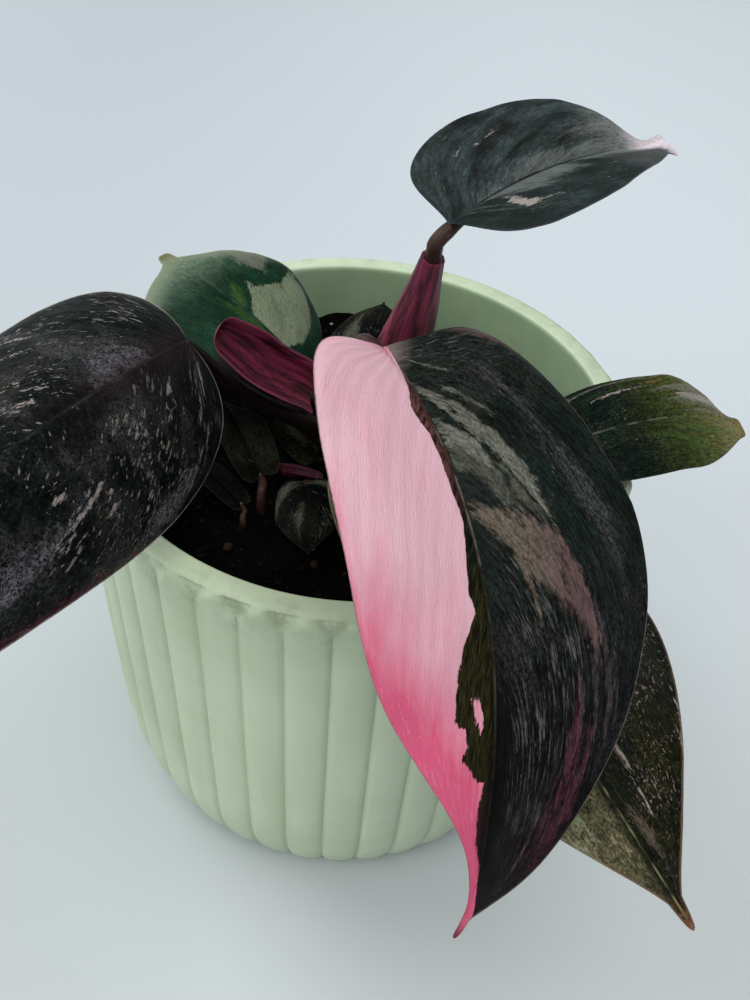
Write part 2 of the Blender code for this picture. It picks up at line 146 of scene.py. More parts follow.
# Marks on a leaf, each along a vein: its half (1 left, -1 right), the vein that it starts on, how wide it
# is to each side there, and from where to where it runs between midrib (0) and margin (1). Where it drifts
# to another vein or grows, the vein and width at its far end follow.
MARKS = {
    "front": {
        "grey": [
            (1, 0.135, 0.01, 0.0, 0.2, 0.172, 0.032), (1, 0.172, 0.032, 0.18, 0.46, 0.18, 0.026),
            (1, 0.24, 0.026, 0.03, 0.24, 0.232, 0.018), (1, 0.02, 0.005, 0.16, 0.4),
            (1, 0.1, 0.006, 0.25, 0.42), (1, 0.145, 0.006, 0.06, 0.3)],
        "moss": [(1, 0.272, 0.035, 0.02, 0.3, 0.255, 0.026), (1, 0.225, 0.018, 0.3, 0.42, 0.215, 0.012)],
        "rose": [
            (1, 0.374, 0.01, 0.03, 0.3, 0.318, 0.046), (1, 0.318, 0.046, 0.27, 0.5, 0.255, 0.046),
            (1, 0.253, 0.044, 0.47, 0.72, 0.215, 0.012), (1, 0.345, 0.03, 0.2, 0.34, 0.4, 0.008),
            (1, 0.43, 0.008, 0.71, 0.75), (1, -0.28, 0.05, 0.9, 1.05)],
        "dusk": [
            (1, 0.2, 0.01, 0.66, 0.9, 0.183, 0.012), (1, 0.243, 0.009, 0.66, 0.84),
            (1, -0.02, 0.012, 0.55, 0.68), (1, 0.16, 0.006, 0.8, 0.92), (1, 0.3, 0.012, 0.6, 0.72),
            (1, -0.33, 0.05, 0.12, 0.55, -0.38, 0.05)],
        "plum": [
            (1, 0.325, 0.022, 0.64, 0.8, 0.322, 0.035), (1, 0.322, 0.035, 0.78, 0.95, 0.285, 0.045),
            (1, 0.255, 0.012, 0.78, 0.9), (1, 0.38, 0.01, 0.7, 0.8)],
        "scratch": [(1, 0.5, 0.17, 0.08, 0.74, 0.38, 0.13), (1, 0.66, 0.06, 0.1, 0.6)],
        # The dust marks here are partly violet-grey powder and partly painted sheen.
        "dust": [(1, -0.03, 0.05, 0.56, 0.72), (1, 0.04, 0.04, 0.6, 0.86, 0.03, 0.06)],
    },
    "left": {
        "blush": [
            (1, 0.285, 0.006, 0.44, 0.5, 0.294, 0.011), (1, 0.295, 0.011, 0.5, 0.58, 0.304, 0.005),
            (1, 0.383, 0.01, 0.35, 0.39), (1, 0.251, 0.008, 0.5, 0.53), (1, 0.212, 0.009, 0.6, 0.64),
            (1, 0.241, 0.003, 0.69, 0.77, 0.232, 0.004), (1, 0.287, 0.005, 0.61, 0.64),
            (1, -0.137, 0.018, 0.5, 0.6), (1, 0.112, 0.01, 0.25, 0.29), (1, 0.24, 0.003, 0.09, 0.14),
            (1, 0.102, 0.006, 0.38, 0.42), (1, -0.074, 0.01, 0.6, 0.65), (1, 0.223, 0.006, 0.32, 0.35),
            (1, 0.035, 0.005, 0.46, 0.49), (1, -0.136, 0.006, 0.75, 0.78), (-1, 0.372, 0.009, 0.19, 0.26),
            (-1, 0.046, 0.004, 0.73, 0.86, 0.018, 0.005), (-1, 0.13, 0.005, 0.62, 0.67),
            (-1, 0.276, 0.006, 0.39, 0.43), (-1, -0.21, 0.006, 0.82, 0.87)],
        # The dust marks here are partly violet-grey powder and partly painted sheen.
        "dust": [
            (-1, 0.27, 0.12, -0.1, 0.32, 0.17, 0.05), (1, -0.03, 0.08, 0.76, 0.99), (1, 0.52, 0.22, 0.5, 1.0),
            (1, 0.66, 0.12, 0.1, 0.6), (-1, 0.46, 0.08, 0.3, 0.7)],
        "speck": [
            (1, 0.02, 0.17, 0.3, 0.92), (1, 0.24, 0.1, 0.1, 0.75), (-1, -0.02, 0.2, 0.5, 0.95),
            (-1, 0.38, 0.1, 0.2, 0.8)],
    },
    "top": {
        "silver": [
            (1, 0.3, 0.1, -0.1, 0.12, 0.25, 0.07), (1, 0.5, 0.14, -0.1, 0.26, 0.44, 0.08),
            (1, 0.7, 0.14, -0.1, 0.5, 0.62, 0.08), (1, 0.88, 0.14, -0.2, 1.1),
            (-1, 0.42, 0.22, -0.1, 0.36, 0.36, 0.1), (-1, 0.27, 0.06, 0.22, 0.46, 0.24, 0.02),
            (-1, 0.74, 0.14, -0.1, 0.3), (-1, 0.12, 0.01, 0.04, 0.5, 0.1, 0.004),
            (-1, 0.039, 0.006, 0.2, 0.52), (1, 0.44, 0.05, 0.45, 0.92, 0.4, 0.08)],
        "blush": [
            (-1, 0.208, 0.004, 0.24, 0.36, 0.17, 0.008), (-1, 0.16, 0.01, 0.34, 0.6, 0.076, 0.026),
            (1, 0.073, 0.008, 0.66, 0.68), (-1, 0.104, 0.006, 0.63, 0.67), (-1, 0.444, 0.008, 0.5, 0.54),
            (1, 0.012, 0.006, 0.67, 0.685)],
        "speck": [(-1, 0.25, 0.3, 0.55, 0.95), (1, 0.0, 0.12, 0.3, 0.9)],
    },
    "right": {
        "grey": [
            (1, -0.16, 0.022, 0.8, 0.97, -0.11, 0.02), (1, 0.16, 0.07, 0.62, 1.1, 0.22, 0.1),
            (1, 0.4, 0.1, 0.4, 0.9, 0.42, 0.12), (1, 0.62, 0.08, 0.2, 0.6)],
        "lime": [
            (1, -0.03, 0.02, 0.7, 0.8), (-1, 0.3, 0.05, 0.3, 0.6), (-1, 0.2, 0.04, 0.55, 0.85),
            (-1, 0.52, 0.08, 0.2, 0.7)],
        "blush": [(1, 0.02, 0.016, 0.64, 0.72), (1, 0.33, 0.08, 0.55, 1.02)],
        "ember": [(1, 0.00, 0.012, 0.8, 0.9, -0.04, 0.008)],
        "speck": [(-1, 0.25, 0.3, 0.2, 0.85), (1, 0.4, 0.2, 0.1, 0.5)],
    },
    "low": {
        "rose": [(1, 0.78, 0.03, 0.22, 0.5, 0.68, 0.03), (1, 0.555, 0.014, 0.375, 0.45, 0.565, 0.013)],
        "blush": [
            (1, 0.548, 0.01, 0.38, 0.47, 0.545, 0.012), (1, 0.58, 0.01, 0.48, 0.56),
            (1, 0.376, 0.003, 0.6, 0.69, 0.438, 0.003), (1, 0.15, 0.05, 0.982, 1.1)],
        "cream": [(-1, 0.28, 0.05, 0.93, 1.1), (-1, 0.42, 0.03, 0.6, 0.75)],
        "speck": [(1, 0.35, 0.5, 0.15, 0.97)],
    },
    "back": {
        "cream": [
            (-1, 0.39, 0.085, -0.2, 0.33, 0.255, 0.17), (-1, 0.255, 0.17, 0.28, 0.6, 0.068, 0.078),
            (-1, 0.068, 0.078, 0.56, 0.9, -0.07, 0.03), (-1, -0.07, 0.012, 0.8, 0.93)],
        "grey": [(-1, 0.3, 0.07, 0.62, 1.1, 0.15, 0.12), (-1, 0.48, 0.08, 0.7, 1.1, 0.34, 0.1)],
        "lime": [(-1, 0.53, 0.045, -0.2, 0.22), (1, 0.42, 0.1, -0.2, 0.15), (1, 0.3, 0.06, -0.2, 0.1)],
    },
    "bud_speckled": {
        "moss": [
            (1, 0.4, 0.12, 0.1, 0.5), (-1, 0.1, 0.12, 0.2, 0.6), (1, 0.75, 0.2, -0.1, 0.7),
            (-1, 0.7, 0.2, -0.1, 0.8)],
        "speck": [(1, 0.3, 0.4, 0.1, 0.9), (-1, 0.3, 0.4, 0.1, 0.9)],
    },
    "bud_front": {
        "moss": [(1, -0.1, 0.1, 0.45, 1.0), (-1, -0.05, 0.12, 0.5, 1.0), (-1, 0.5, 0.1, 0.1, 0.4)],
        "speck": [(1, 0.3, 0.4, 0.2, 0.9), (-1, 0.3, 0.4, 0.2, 0.9)],
    },
    "bud_back": {
        "moss": [(1, 0.3, 0.2, 0.1, 0.7), (-1, 0.3, 0.2, 0.2, 0.8)],
    },
}

# How solid each kind of mark is, and how soft its edge is in millimetres.
TONES = {"moss": (0.6, 1.6), "silver": (0.75, 2.4), "grey": (0.85, 1.1), "dusk": (0.55, 1.0),
         "rose": (0.9, 1.4), "plum": (0.6, 1.6), "lime": (0.6, 2.0), "cream": (0.95, 0.5),
         "ember": (0.6, 0.5), "blush": (0.9, 0.35)}

# Where the pink of the front leaf ends, between midrib (0) and margin (1), from joint to tip. Below 0 it
# runs past the midrib.
PINK_EDGE = [
    (0.0, -0.16), (0.05, -0.12), (0.09, -0.02), (0.13, 0.06), (0.167, 0.12), (0.215, 0.19), (0.243, 0.15),
    (0.257, 0.1), (0.299, 0.08), (0.347, 0.08), (0.375, 0.06), (0.396, 0.06), (0.451, 0.12), (0.486, 0.15),
    (0.512, 0.12), (0.521, 0.17), (0.542, 0.27), (0.569, 0.35), (0.597, 0.4), (0.632, 0.46), (0.644, 0.44),
    (0.653, 0.37), (0.681, 0.39), (0.694, 0.48), (0.722, 0.38), (0.743, 0.3), (0.75, 0.17), (0.765, 0.24),
    (0.792, 0.31), (0.84, 0.42), (0.875, 0.3), (0.9, 0.05), (1.0, -0.6)]

# How each leaf is painted: its slot, then its ground and underside where they aren't the usual ones, and
# what leaf_finish takes. warm, cool, flecks and dust are how strong those are. tip lists washes towards the
# tip with their start and end, half is a wash over one half, blotch is how strong the wide pale clouds are,
# bite how strong the fine texture is, dash how short the flecks are, and seam how strongly the midrib shows.
SMALL_LOOK = dict(slot="leaf_green", cool=0.0, flecks=0.95, dust=0.1, shine=0.03, seam=0.0,
                  hem=(0.018, 0.02, 0.015), fleck=(0.17, 0.18, 0.15))
LOOKS = {
    "front": dict(
        slot="leaf_half_pink", cool=0.6, flecks=0.3, dust=0.3, green=(0.0042, 0.0095, 0.0062), seam=0.45,
        hem=(0.15, 0.135, 0.115), border=0.15, tip=((0.3, 0.6, (0.0036, 0.0038, 0.0044)),), shine=0.075),
    "left": dict(
        slot="leaf_dark", warm=0.5, cool=0.35, flecks=0.85, fleck=(0.25, 0.235, 0.215), dust=1.0,
        hem=(0.55, 0.5, 0.42), seam=0.1, border=0.42, green=(0.0055, 0.008, 0.0068)),
    "top": dict(
        slot="leaf_dark", base=(0.01, 0.013, 0.012), warm=0.0, cool=0.1, flecks=0.2, dust=0.0, bite=0.4,
        green=(0.029, 0.042, 0.04), seam=0.0, half=(-1, (0.006, 0.0115, 0.0098)), hem=(0.06, 0.06, 0.07),
        blotch=0.4, tip=((0.58, 0.84, (0.22, 0.24, 0.235)),)),
    "right": dict(
        slot="leaf_dark", warm=0.4, cool=0.0, flecks=0.7, dash=9.0, dust=0.0, seam=0.35,
        hem=(0.07, 0.06, 0.03), fleck=(0.17, 0.2, 0.08), green=(0.003, 0.008, 0.005), blotch=0.6,
        tip=((0.24, 0.62, (0.036, 0.048, 0.008)), (0.52, 0.95, (0.15, 0.13, 0.03)))),
    "low": dict(
        slot="leaf_dark", warm=0.9, cool=0.0, flecks=0.95, dust=0.0, dash=11.0, seam=1.0,
        rib=(0.17, 0.18, 0.085), half=(-1, (0.072, 0.068, 0.034)), tip=((0.93, 1.01, (0.17, 0.065, 0.035)),),
        hem=(0.18, 0.12, 0.08), border=0.4, blotch=0.5, fleck=(0.26, 0.18, 0.15),
        green=(0.0055, 0.007, 0.002)),
    "back": dict(
        slot="leaf_green", under=(0.1, 0.14, 0.08), warm=0.0, cool=0.0, flecks=0.1, dust=0.0, blotch=0.3,
        bite=0.5, green=(0.0035, 0.018, 0.0085), seam=0.15, hem=(0.22, 0.27, 0.2), border=0.6,
        # The first tip wash, a paler green towards the tip, is partly the leaf's own paler green and partly
        # painted sheen.
        tip=((0.56, 0.9, (0.1, 0.15, 0.1)), (0.84, 0.98, (0.19, 0.19, 0.07)))),
    "bud_speckled": dict(SMALL_LOOK, slot="leaf_dark", base=(0.0095, 0.009, 0.004)),
    "bud_front": dict(SMALL_LOOK, slot="leaf_dark"),
    "bud_funnel": dict(SMALL_LOOK, flecks=0.3),
    "bud_narrow": dict(SMALL_LOOK, flecks=0.3),
    "bud_back": SMALL_LOOK,
}

# Below SHORT_DASH a leaf's flecks also follow its fine streaks.
LEAF_ROUGHNESS = 0.34
SHORT_DASH = 5.0

# The main stem: where it stands, its radius by height, and the heights of the rings on it.
STEM_AT = (0, -9)
STEM_RADII = ((86, 4.6), (111, 4.6), (117, 4.2), (123, 3.9), (126, 3.3), (127.5, 2.0))
STEM_RINGS = (27.0, 33.0, 38.0)

# Each stalk: points that it passes after it leaves the stem or the soil, its radius at the foot and
# at the joint, and how far it runs on under the midrib, as a share of the blade's length.
STALKS = {
    "front": dict(by=[(0.5, -15.8, 121), (1.5, -22, 137), (2.6, -32, 157)], thick=(2.2, 1.8), under=0.12),
    "left": dict(
        by=[(-7, -9.6, 120), (-12, -10.6, 126.6), (-22, -14.2, 135), (-29, -18.8, 144.8)], thick=(3.0, 1.0),
        under=0.09),
    "top": dict(
        by=[(2.5, -10, 129.6), (6.4, -14.2, 145), (9.3, -18.6, 163), (12, -22, 180)], thick=(2.6, 1.5),
        under=0.14),
    "right": dict(by=[(6.3, -8.6, 115.5), (14, -11, 123), (30, -17, 130.5)], thick=(2.0, 1.2), under=0.14),
    "low": dict(by=[(3.9, -13.6, 114.5), (6, -20, 123), (7.4, -28, 132)], thick=(2.1, 1.3), under=0.12),
    "back": dict(by=[(-4.6, -5.2, 117.5), (-8.2, -1.8, 123.5)], thick=(1.9, 1.3), under=0.16),
    "bud_speckled": dict(by=[(-5.6, -8.2, 112.8), (-7, -8.2, 112.9)], thick=(0.9, 0.7), under=0.18),
    "bud_front": dict(by=[(-3.2, -14.8, 112.4), (-6.6, -17.6, 113)], thick=(1.0, 0.8), under=0.18),
    "bud_funnel": dict(
        by=[(-22, -24, 102), (-22, -24, 110), (-22, -22.4, 114)], thick=(1.5, 1.0), under=0.16),
    "bud_narrow": dict(
        by=[(-25.6, -30, 102), (-25.6, -30, 109.5), (-25.7, -28.8, 111.8)], thick=(1.0, 0.7), under=0.16),
    "bud_back": dict(by=[(0, -3.4, 114), (-0.4, 1.5, 116)], thick=(1.5, 1.0), under=0.14),
}

# Each sheath: the line of its middle, its radius along that line, how far it wraps round, the side that
# it is open on, how much of each end is rounded off, and how far its edges flare.
SHEATHS = {
    "top": dict(
        by=[(4.8, -12.3, 137), (7.2, -14.4, 146), (9.9, -18.6, 163), (12.1, -22, 180)],
        radius=(6.5, 6.0, 4.2, 1.9), wrap=(225, 262, 300, 330), open=(0.2, 0.8, -0.5), ends=(0.0, 0.0),
        flare=0.2),
    "left": dict(
        by=[(-7.5, -7.4, 133.4), (-12, -10.2, 139.2), (-20.4, -14.6, 147.4), (-30.6, -16.8, 156.6)],
        radius=(5.4, 6.0, 5.6, 3.4), wrap=(125, 140, 150, 150), open=(-0.1, -0.55, 0.8), ends=(0.0, 0.1),
        flare=0.5),
    "foot": dict(
        by=[(-7.9, -13.9, 113.4), (-12.6, -14.8, 115.6), (-18.2, -16.8, 118.4)], radius=(2.0, 2.7, 2.4),
        wrap=(150, 160, 150), open=(0.0, 0.3, 1.0), ends=(0.1, 0.2), flare=0.3),
}

# The stage, in metres: how far the floor reaches and how far below the pot it lies; the sky's turn from dark
# to light along X; the lamps with place, size, share of the window's power and colour; and the camera's
# place with its yaw, pitch and roll in degrees.
FLOOR_REACH = 4.0
FLOOR_GAP = 0.0002
SKY_RAMP = (0.35, -0.75)
SKY_DARK = (0.34, 0.35, 0.36, 1.0)
SKY_LIGHT = (1.0, 1.03, 1.05, 1.0)
LAMPS = (("window", (-2.05, 1.46, 2.3), 2.4, 1.0, (0.98, 1.0, 1.0)),
         ("softbox", (0.3, -0.6, 2.8), 2.0, 1.0, (1.0, 1.0, 1.0)),
         ("fill", (-2.2, -1.55, 1.9), 2.2, 0.55, (1.0, 1.0, 1.0)))
LAMP_AIM = (0.0, 0.0, 0.08)
CAMERA_AT = (0.0, -0.1746, 0.2690)
CAMERA_TURN = (-2.02, 45.51, 5.28)


def tint(name, description, default):
    return FloatVectorProperty(name=name, description=description, default=default, subtype="COLOR",
                               size=3, min=0.0, max=1.0)


def length(name, description, default, high):
    return FloatProperty(name=name, description=description, default=default, unit="LENGTH",
                         subtype="DISTANCE", min=0.0, max=high, precision=5)


class PotSettings(PropertyGroup):
    glaze: tint("Glaze", "Colour of the pot's glaze", (0.555, 0.645, 0.475))
    # shade is the glaze where it lies thin, in random clouds, and painted shade in the grooves between the
    # ribs.
    shade: tint("Shade", "Colour of the glaze where it lies thin or in shade", (0.46, 0.56, 0.38))
    dirt: tint("Dirt", "Colour of the dust round the rib tops", (0.27, 0.32, 0.205))
    rib_depth: length("Rib depth", "How deep the grooves between the ribs are", 0.0013, 0.003)


class SoilSettings(PropertyGroup):
    soil: tint("Soil", "Colour of the damp potting soil", (0.0009, 0.0009, 0.0007))
    perlite: tint("Perlite", "Colour of the pale grains", (0.24, 0.25, 0.23))
    bark: tint("Bark", "Colour of the reddish bits of bark", (0.017, 0.0085, 0.006))
    crumbs: IntProperty(name="Crumbs", description="Number of soil crumbs", default=1100, min=0, max=2000)


class LeafSettings(PropertyGroup):
    black_green: tint("Black green", "Main colour of the dark leaves", (0.0030, 0.0052, 0.0040))
    blue_black: tint("Blue black", "Cool parts of the dark leaves", (0.0028, 0.0048, 0.0075))
    olive: tint("Olive", "Warm parts of the dark leaves", (0.012, 0.012, 0.004))
    leaf_green: tint("Leaf green", "Main colour of the green leaf", (0.0045, 0.024, 0.0105))
    fleck: tint("Fleck", "Small pale flecks along the veins", (0.17, 0.16, 0.145))
    # This powder colour is also painted sheen in the leaves' dust marks.
    dust: tint("Dust", "Fine violet-grey mottling", (0.130, 0.125, 0.140))
    moss: tint("Moss marks", "Soft grey-green marks", (0.150, 0.155, 0.115))
    grey: tint("Grey marks", "Grey-green marks", (0.190, 0.190, 0.155))
    silver: tint("Silver marks", "Cool grey bands", (0.185, 0.205, 0.198))
    dusk: tint("Dusk marks", "Brownish-violet streaks", (0.080, 0.062, 0.068))
    rose: tint("Rose marks", "Brownish-pink marks", (0.165, 0.130, 0.098))
    plum: tint("Plum marks", "Dark pink marks", (0.125, 0.036, 0.055))
    lime: tint("Lime marks", "Bright green marks", (0.055, 0.120, 0.018))
    cream: tint("Cream marks", "Cream-green marks", (0.21, 0.25, 0.16))
    ember: tint("Ember marks", "Orange-red marks", (0.30, 0.12, 0.06))
    blush: tint("Blush marks", "Pale pink marks", (0.36, 0.31, 0.29))
    pale_pink: tint("Pale pink", "Pink half near the joint", (0.78, 0.48, 0.55))
    deep_pink: tint("Deep pink", "Pink half along its lower margin", (0.72, 0.11, 0.22))
    underside: tint("Underside", "Colour of the leaves' undersides", (0.045, 0.030, 0.024))
    thickness: length("Thickness", "Thickness of a blade at its middle", 0.00062, 0.001)
    vein_relief: length("Vein relief", "How far the side veins stand out", 0.00004, 0.0005)


class StalkSettings(PropertyGroup):
    wine: tint("Wine", "Colour of the leaf stalks", (0.016, 0.0045, 0.006))
    brown: tint("Brown", "Colour of the stalks near the blades", (0.055, 0.026, 0.018))
    crimson: tint("Crimson", "Colour of the sheaths", (0.150, 0.015, 0.042))
    streak: tint("Streak", "Pale streaks along the sheaths", (0.27, 0.09, 0.13))
    rim: tint("Rim", "Colour of the sheaths' edges", (0.21, 0.045, 0.095))


class StudioSettings(PropertyGroup):
    floor: tint("Floor", "Colour of the floor", (0.52, 0.58, 0.62))
    sky: FloatProperty(name="Sky", description="Strength of the even light", default=0.6, min=0.0, max=3.0)
    window: FloatProperty(name="Window", description="Power of the soft window light", default=45.0,
                          min=0.0, max=200.0, unit="POWER")
    lens: FloatProperty(name="Lens", description="Focal length of the camera", default=32.4, min=10.0,
                        max=200.0, unit="CAMERA")


# ---- Shapes -------------------------------------------------------------------------------------


def bezier(p0, p1, p2, p3, count):
    t = np.linspace(0, 1, count)[:, None]
    p0, p1, p2, p3 = (np.array(p, float) for p in (p0, p1, p2, p3))
    return (1 - t) ** 3 * p0 + 3 * (1 - t) ** 2 * t * p1 + 3 * (1 - t) * t ** 2 * p2 + t ** 3 * p3


def smooth_line(points, count):
    """Even points on a smooth curve through the given ones, and how far along each lies."""
    points = [np.array(p, float) for p in points]
    ends = [2 * points[0] - points[1]] + points + [2 * points[-1] - points[-2]]
    fine = []
    for a, b, c, d in zip(ends, ends[1:], ends[2:], ends[3:]):
        for t in np.linspace(0, 1, 24, endpoint=False):
            fine.append(0.5 * (2 * b + (c - a) * t + (2 * a - 5 * b + 4 * c - d) * t ** 2
                               + (3 * b - a - 3 * c + d) * t ** 3))
    fine = np.array(fine + [points[-1]])
    run = np.concatenate([[0], np.cumsum(np.linalg.norm(np.diff(fine, axis=0), axis=1))])
    want = np.linspace(0, run[-1], count)
    return np.stack([np.interp(want, run, fine[:, k]) for k in range(3)], axis=1), want / run[-1]


def bumps(points, size, seed=0.0):
    """Smooth random heights between about -1 and 1 at points in millimetres."""
    flat = np.asarray(points, float).reshape(-1, 3) / size + seed
    return np.array([noise.noise(p) for p in flat]).reshape(np.shape(points)[:-1])


def ease(value, low, high):
    t = np.clip((np.asarray(value, float) - low) / (high - low), 0, 1)
    return t * t * (3 - 2 * t)


def keep(name, mesh, body_node, materials):
    """Link a finished mesh as a piece that rides on the body and may stand for a solid."""
    for material in materials:
        mesh.materials.append(material)
    piece = bpy.data.objects.new(name, mesh)
    bpy.context.scene.collection.objects.link(piece)
    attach(piece, "root")
    if body_node:
        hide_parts(body_node)


def grid_faces(rows, columns, start=0, wrap=False, flip=False):
    """Corner numbers of the quads of a grid of points, numbered row by row."""
    i, j = np.meshgrid(np.arange(rows - 1), np.arange(columns - (0 if wrap else 1)), indexing="ij")
    k = (j + 1) % columns
    here, below = i * columns, (i + 1) * columns
    quads = np.stack([here + j, here + k, below + k, below + j], axis=-1).reshape(-1, 4) + start
    return quads[:, ::-1] if flip else quads


def build_mesh(name, points, faces, sharp, maps=None, fields=None, sides=None):
    """A mesh in metres from points in millimetres. Edges sharper than the angle sharp stay creased; maps
    are UV layers, fields are values at points, and sides are the faces' materials."""
    mesh = bpy.data.meshes.new(name)
    mesh.from_pydata((np.asarray(points) * MM).tolist(), [], [list(map(int, f)) for f in faces])
    corners = np.empty(len(mesh.loops), dtype=np.int32)
    mesh.loops.foreach_get("vertex_index", corners)
    for key, values in (maps or {}).items():
        layer = mesh.uv_layers.new(name=key)
        layer.uv.foreach_set("vector", np.asarray(values, np.float32)[corners].ravel())
    for key, values in (fields or {}).items():
        field = mesh.attributes.new(key, "FLOAT", "POINT")
        field.data.foreach_set("value", np.asarray(values, np.float32).ravel())
    if sides is not None:
        mesh.polygons.foreach_set("material_index", np.asarray(sides, np.int32))
    shape = bmesh.new()
    shape.from_mesh(mesh)
    bmesh.ops.remove_doubles(shape, verts=shape.verts, dist=0.000002)
    bmesh.ops.recalc_face_normals(shape, faces=shape.faces)
    shape.to_mesh(mesh)
    shape.free()
    mesh.shade_smooth()
    mesh.set_sharp_from_angle(angle=radians(sharp))
    return mesh


# ---- Leaves -------------------------------------------------------------------------------------


def half_outline(leaf, side):
    """Flat edge of half a blade from the joint round the lobe to where the drip tip starts."""
    size, width = leaf["length"], leaf[side]
    belly, lobe, full, thin, drip = (leaf.get(key + "_" + side, leaf.get(key, usual)) for key, usual in (
        ("belly", 0.4), ("lobe", 0), ("full", 0.33), ("thin", 0.3), ("drip", 0.15)))
    start, left, right = leaf["tail"]
    mid = belly * size
    low, high = (n * leaf["fine"] for n in leaf["rows"])
    inner, outer = leaf.get("shoulder_" + side, (0.45, 1.0))
    base = bezier((0, 0), (inner * width, -2.2 * lobe - 0.02 * size),
                  (outer * width, -0.35 * mid - 0.5 * lobe), (width, mid), low + 1)
    tip = bezier((width, mid), (width, mid + full * (size - mid)), (thin * width, size * (1 - drip)),
                 (left if side == "left" else right, size * start), high + 1)
    return np.concatenate([base, tip[1:]])


def blade_grid(leaf):
    """Flat blade points row by row: how far from joint to tip, from midrib to margin, across and along."""
    rows, columns = sum(leaf["rows"]) * leaf["fine"], leaf["across"]
    tau = np.arange(rows + 1) / rows
    start, left, right = leaf["tail"]
    size = leaf["length"]
    edges = {1: half_outline(leaf, "left"), -1: half_outline(leaf, "right")}
    j = np.arange(-columns, columns + 1)
    v = np.abs(j) / columns
    edge = np.where((j >= 0)[None, :, None], edges[1][:, None], edges[-1][:, None])
    side = np.where(j >= 0, 1.0, -1.0)[None, :]
    centre = size * np.minimum(start, 1.0) * tau[:, None] ** 1.25
    across = side * edge[..., 0] * v
    along = centre + (edge[..., 1] - centre) * v
    extra = np.linspace(0, 1, 2 * leaf["fine"] + 1)[1:, None]
    close = np.sqrt(np.maximum(0, 1 - extra ** 6)) * (1 + leaf.get("flare", -0.25) * extra)
    tail = np.where(j >= 0, left, -right)[None, :] * v
    across = np.concatenate([across, tail * close])
    end = leaf.get("end", 1.0)
    along = np.concatenate([along, size * (start + (end - start) * extra) + 0 * v])
    tau = np.concatenate([tau, np.ones(len(extra))])[:, None] + 0 * v
    return tau, side * v + 0 * tau, across, along


def lay_blade(leaf, across, along):
    """Places flat points in space: folded, arched, waved and bent. Also gives the upper side there."""
    count = BEND_STEPS
    t = np.linspace(0, 1, count)
    pitch = np.radians(leaf["rise"] - leaf["droop"] * t)
    head = np.radians(leaf["heading"] + leaf["swing"] * t)
    T = np.stack([np.cos(pitch) * np.cos(head), np.cos(pitch) * np.sin(head), np.sin(pitch)], axis=1)
    step = leaf["length"] / (count - 1)
    run = np.cumsum((T[1:] + T[:-1]) / 2 * step, axis=0)
    P = np.array(leaf["at"], float) + np.concatenate([[[0, 0, 0]], run])
    B = np.stack([-np.sin(head), np.cos(head), np.zeros(count)], axis=1)
    N = np.cross(T, B)
    roll = np.radians(leaf["roll"] + leaf["twist"] * t)
    c, s = np.cos(roll)[:, None], np.sin(roll)[:, None]
    B, N = c * B + s * N, -s * B + c * N
    across, along = np.asarray(across, float), np.asarray(along, float)
    u = np.clip(along / leaf["length"], 0, 1) * (count - 1)
    i = np.minimum(u.astype(int), count - 2)
    w = (u - i)[..., None]
    p, tt, bb, nn = (A[i] * (1 - w) + A[i + 1] * w for A in (P, T, B, N))
    p = p + tt * np.minimum(along, 0.0)[..., None]
    width = (leaf["left"] + leaf["right"]) / 2
    begin = leaf["tail"][0] - 0.06
    bent = np.clip((along / leaf["length"] - begin) / (1 - begin), 0, 1) ** 2
    first = radians(leaf["fold"]) * (1 - leaf.get("flat", 0.0) * bent)
    k = radians(leaf["arch"]) / width
    b = np.abs(across)
    slope = first - k * b
    x = (np.sin(first) - np.sin(slope)) / k
    z = (np.cos(slope) - np.cos(first)) / k
    phase = np.where(across > 0, 0.0, 1.9)
    z = z + leaf["wave"] * (b / width) ** 2 * np.sin(2 * pi * leaf["waves"] * along / leaf["length"] + phase)
    lift, push, *turn = leaf["curl"]
    x = np.sign(across) * x + push * bent
    z = z + (lift + sum(turn) * x) * bent
    return p + bb * x[..., None] + nn * z[..., None], tt, bb, nn


def mark_field(marks, side, q, v, reach, width):
    """How far inside its nearest mark each point is, in millimetres; below zero outside."""
    best = np.full(q.shape, OUTSIDE)
    for half, vein, spread, start, end, *far in marks:
        far_vein, far_spread = far or (vein, spread)
        t = np.clip((v - start) / (end - start), 0, 1)
        gap = spread + (far_spread - spread) * t - np.abs(q - vein - (far_vein - vein) * t)
        inside = np.minimum(gap * reach, np.minimum(v - start, end - v) * width)
        best = np.maximum(best, np.where(side == half, inside, OUTSIDE))
    return np.clip(best, OUTSIDE, -OUTSIDE)


